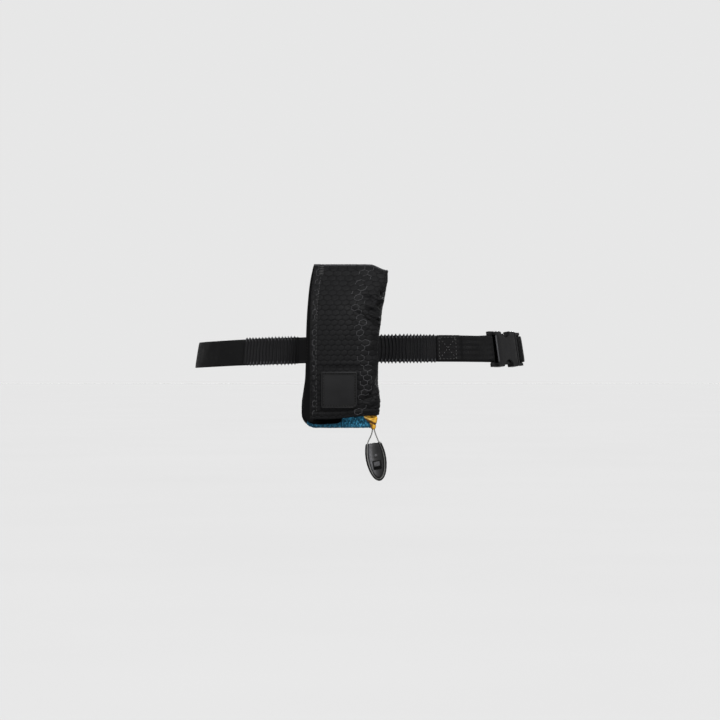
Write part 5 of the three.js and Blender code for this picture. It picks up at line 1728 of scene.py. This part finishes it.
class BELTPACK_OT_belt(Operator):
    """Makes the gathered elastic, the two straps, the tunnel and their seams"""

    bl_idname = "beltpack.belt"
    bl_label = "Belt"

    def execute(self, context):
        sizes, colours = context.scene.belt_pack_sizes, context.scene.belt_pack_colours
        finish = webbing_finish(colours)
        self.elastic(elastic_finish(colours))
        add_webbing("strap_buckle_end", self.short_path(sizes), sizes, finish, ["strap_short"])
        add_webbing("strap_round_front", self.long_path(sizes), sizes, finish, ["strap_long"])
        self.tunnel(finish)
        thread = thread_finish("belt_thread", shade(colours.seam_thread, 1.5))
        add_piece("belt_seams", join(self.seams(sizes)), thread, "webbing")
        return {"FINISHED"}

    @staticmethod
    def elastic(finish):
        along = np.arange(ELASTIC["left"], ELASTIC["right"], ELASTIC["step"])
        share = np.linspace(-1, 1, ELASTIC["rows"])[None]
        up = share * BELT["half_height"]
        rib = rib_height(along[:, None], up)
        path = stacked(along, elastic_height(along))
        edge = smoothstep(0.80, 0.92, np.abs(share))
        scallop = np.sign(share) * smoothstep(0.82, 1.0, np.abs(share)) * (0.9 * rib - 0.5)
        half = ELASTIC["thickness"] / 2
        outer = band(path, half + rib * (1 + 0.35 * edge) - 0.25 * edge, up + scallop)
        inner = band(path, -half + 0.15 * rib, up + scallop)
        tall = max(gather[3] for gather in GATHERS)
        gathered = np.where(rib_height(along[:, None], 0.0 * up).max(1, keepdims=True) > 0, rib / tall, 0.5)
        places = stacked(along[:, None], up, gathered)
        return add_sheet("elastic_gathers", outer, inner, places, finish, "elastic", ["elastic_band"])

    @staticmethod
    def short_path(sizes):
        bar = bar_spot(SOCKET_BAR_X)
        reach = BAR["radius"] + BAR["play"] + sizes.webbing / MM / 2
        end, pressed_from, pressed_to = (STRAP_SHORT[k] for k in ("end", "pressed_from", "pressed_to"))
        inner, outer, pressed = LAYER["inner"], LAYER["outer"], LAYER["pressed"]
        open_at = pressed_from - STRAP_SHORT["spread"]
        return np.concatenate([
            eased((end, inner), (pressed_to, inner), 1.5),
            eased((pressed_to, inner), (bar[0], bar[1] - reach), 0.8),
            turn_round(bar, reach, 1),
            eased((bar[0], bar[1] + reach), (pressed_to, pressed), 0.8)[1:],
            eased((pressed_to, pressed), (pressed_from, pressed), 1.5),
            eased((pressed_from, pressed), (open_at, outer), 0.8),
            eased((open_at, outer), (end, outer), 1.5),
            [(end, outer)],
        ])

    @staticmethod
    def long_path(sizes):
        spot = bar_spot(CLIP_BAR_X)
        bar = (spot[0] - WAIST_LENGTH, spot[1])
        reach = BAR["radius"] + BAR["play"] + sizes.webbing / MM / 2
        climb, tail = bar[0] + STRAP_LONG["climb"], bar[0] + STRAP_LONG["tail"]
        inner, pressed = LAYER["inner"], LAYER["pressed"]
        return np.concatenate([
            eased((STRAP_LONG["end"], inner), (climb, inner), 2.5),
            eased((climb, inner), (bar[0], bar[1] - reach), 1.2),
            turn_round(bar, reach, -1),
            eased((bar[0], bar[1] + reach), (climb, pressed), 1.2)[1:],
            eased((climb, pressed), (tail, pressed), 2.5),
            [(tail, pressed)],
        ])

    @staticmethod
    def tunnel(finish):
        """Strip behind the belt, its upper and lower tab sewn to the pouch's back."""
        x = np.linspace(TUNNEL["left"], TUNNEL["right"], 44)[:, None]
        under, slope, tab = TUNNEL["under"], TUNNEL["slope"], TUNNEL["tab"]
        z = np.unique(np.r_[np.linspace(-under - tab, under + tab, 90), -under, under])[None]
        power = WAIST["squareness"]
        waist = WAIST["half_depth"] * (1 - np.abs(x / WAIST["half_width"]) ** power) ** (1 / power)
        against = POUCH_BACK_Y + GAP + TUNNEL["cloth"] / 2
        y = mix(TUNNEL["behind"] - waist, against, smoothstep(under, under + slope, np.abs(z)))
        middle = stacked(x, y, z)
        half = np.array([0, TUNNEL["cloth"] / 2, 0])
        places = middle[..., [2, 0]]
        outer, inner = middle + half, middle - half
        piece = add_sheet("belt_loop", outer, inner, places, finish, "webbing", ["belt_tunnel"])

    @staticmethod
    def seams(sizes):
        """Crossed box on the short strap, and rows on the tunnel's tabs."""
        stitch, radius = sizes.stitch / MM, sizes.thread / MM / 2
        t = np.linspace(0, 1, 60)
        parts = []

        def on_belt(start, end, out):
            along, up = mix(start[0], end[0], t), mix(start[1], end[1], t)
            normals = np.column_stack([waist_out(along), np.zeros(len(t))])
            return stitch_row(belt_point(along, out, up), normals, stitch, stitch + 1.8, radius, 0.1)

        over = LAYER["outer"] + 0.75
        left, right, half = BOX_SEAM["left"], BOX_SEAM["right"], BOX_SEAM["half"]
        corners = ((left, -half), (right, -half), (right, half), (left, half))
        for k in range(4):
            parts += on_belt(corners[k], corners[(k + 1) % 4], over)
        for k in range(2):
            parts += on_belt(corners[k], corners[k + 2], over + 0.1)
        across = np.linspace(TUNNEL["left"] + 2, TUNNEL["right"] - 2, len(t))
        normals = np.tile((0.0, 1.0, 0.0), (len(t), 1))
        for z in TUNNEL_ROWS:
            spots = stacked(across, POUCH_BACK_Y + GAP + TUNNEL["cloth"], z)
            parts += stitch_row(spots, normals, stitch, stitch + 1.2, radius, 0.1)
        return parts


class BELTPACK_OT_buckle(Operator):
    """Makes the fastened side-release buckle, socket and clip"""

    bl_idname = "beltpack.buckle"
    bl_label = "Buckle"

    def execute(self, context):
        tint = context.scene.belt_pack_colours.plastic
        finish = plastic_finish("buckle_plastic", tint, 0.40, 0.07)
        add_moulded("buckle_housing", [self.socket()], in_buckle, finish, "buckle", ["buckle_socket"])
        half, head = SOCKET["half"], SOCKET["head"]
        # A thin strip of light plastic along the top edge of the socket's end by its bar: a painted
        # highlight
        lip = carved(box(0.05, 0.85, 4.4 - half, half - 4.4, head - 1.2, head - 0.05), [], [], 0.25)
        wear_and_highlight = plastic_finish("buckle_edge_highlight_plastic", shade(tint, 11), 0.4, 0.2)
        add_moulded("buckle_edge_highlight", [lip], in_buckle, wear_and_highlight, "buckle", [])
        add_moulded("buckle_prongs", [self.clip()], in_buckle, finish, "buckle", ["buckle_clip"])
        return {"FINISHED"}

    @staticmethod
    def bar_frame(bar_x, body_x, half):
        """Bar that a strap turns round, and the two rails that carry it."""
        way = math.copysign(1, body_x - bar_x)
        ends = sorted((bar_x - way * BAR["radius"], body_x + way * 1.5))
        thick = BAR["radius"] + 0.2
        rails = []
        for side in (-1, 1):
            edges = sorted((side * SLOT_HALF, side * half))
            rails.append(box(*ends, *edges, BAR["z"] - thick, BAR["z"] + thick))
        return [bar_rod(bar_x, half - 0.4), *rails]

    def socket(self):
        half, foot, head, end = SOCKET["half"], SOCKET["foot"], SOCKET["head"], SOCKET["length"]
        profile = (
            (0, foot), (0, head - 1.5), (0.5, head - 0.9), (1.6, head - 0.45), (4, head - 0.12), (8, head)
        )
        rings = []
        for inset, z in profile:
            x, y = rounded_rectangle(0, end, -half, half, (2.2,) * 4, inset, 6).T
            rings.append(stacked(x, y, z))
        lips = [box(x, x + 1.5, -half + 1.2, half - 1.2, head - 2, head - 0.1) for x in (0.1, end - 1.6)]
        wide, deep = NOTCH["half_length"], NOTCH["depth"]
        notches = [oval(NOTCH["x"], y, wide, deep, foot - 1, head + 1) for y in (-half, half)]
        inside = CAVITY["half"]
        hollow = box(CAVITY["start"], end + 1, -inside, inside, CAVITY["foot"], CAVITY["head"])
        pocket = box(-0.5, 4.3, -SLOT_HALF, SLOT_HALF, 1.5, 6.9)
        frame_bars = self.bar_frame(SOCKET_BAR_X, 0, half)
        return carved(rings_solid(rings), [*lips, *frame_bars], [*notches, hollow, pocket], 0.4)

    def clip(self):
        start, half = CLIP["start"], CLIP["half"]
        shoulder = start + CLIP["shoulder"]
        outline = rounded_rectangle(start, shoulder, -half, half, (0.8,) * 4, 0, 4)
        base = slab(outline, CLIP["foot"], CLIP["head"])
        level = (ARM["foot"], ARM["head"])
        joins = [box(21, start + 1, -3, 3, *level)]
        for side in (-1, 1):
            edges = sorted((side * ARM["inner"], side * ARM["outer"]))
            joins.append(box(ARM["start"], start + 1, *edges, *level))
            grip = (GRIP["half_length"], GRIP["top"] - GRIP["base"])
            joins.append(oval(NOTCH["x"], side * GRIP["base"], *grip, *level, 40))
        return carved(base, [*joins, *self.bar_frame(CLIP_BAR_X, shoulder, half)], [], 0.35)


class BELTPACK_PT_pieces(Panel):
    """Lists the steps that make the pack, with its sizes and colours"""

    bl_idname = "BELTPACK_PT_pieces"
    bl_label = "Belt pack"
    bl_space_type = "VIEW_3D"
    bl_region_type = "UI"
    bl_category = "Belt pack"

    def draw(self, context):
        for step in STEPS:
            self.layout.operator(step.bl_idname)
        for group in (context.scene.belt_pack_sizes, context.scene.belt_pack_colours):
            column = self.layout.column(align=True)
            for name in group.__annotations__:
                column.prop(group, name)


STEPS = (
    BELTPACK_OT_stage,
    BELTPACK_OT_toggle,
    BELTPACK_OT_pull_cord,
    BELTPACK_OT_pouch_front,
    BELTPACK_OT_pouch_shell,
    BELTPACK_OT_lining,
    BELTPACK_OT_bladder,
    BELTPACK_OT_patch,
    BELTPACK_OT_belt,
    BELTPACK_OT_buckle,
)
CLASSES = (BeltPackSizes, BeltPackColours, *STEPS, BELTPACK_PT_pieces)


def register():
    for cls in CLASSES:
        bpy.utils.register_class(cls)
    bpy.types.Scene.belt_pack_sizes = PointerProperty(type=BeltPackSizes)
    bpy.types.Scene.belt_pack_colours = PointerProperty(type=BeltPackColours)


def unregister():
    del bpy.types.Scene.belt_pack_colours
    del bpy.types.Scene.belt_pack_sizes
    for cls in reversed(CLASSES):
        bpy.utils.unregister_class(cls)


def main():
    register()
    for step in STEPS:
        group, name = step.bl_idname.split(".")
        getattr(getattr(bpy.ops, group), name)()
    visual_box = [list(corner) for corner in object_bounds()]


if __name__ == "__main__":
    main()
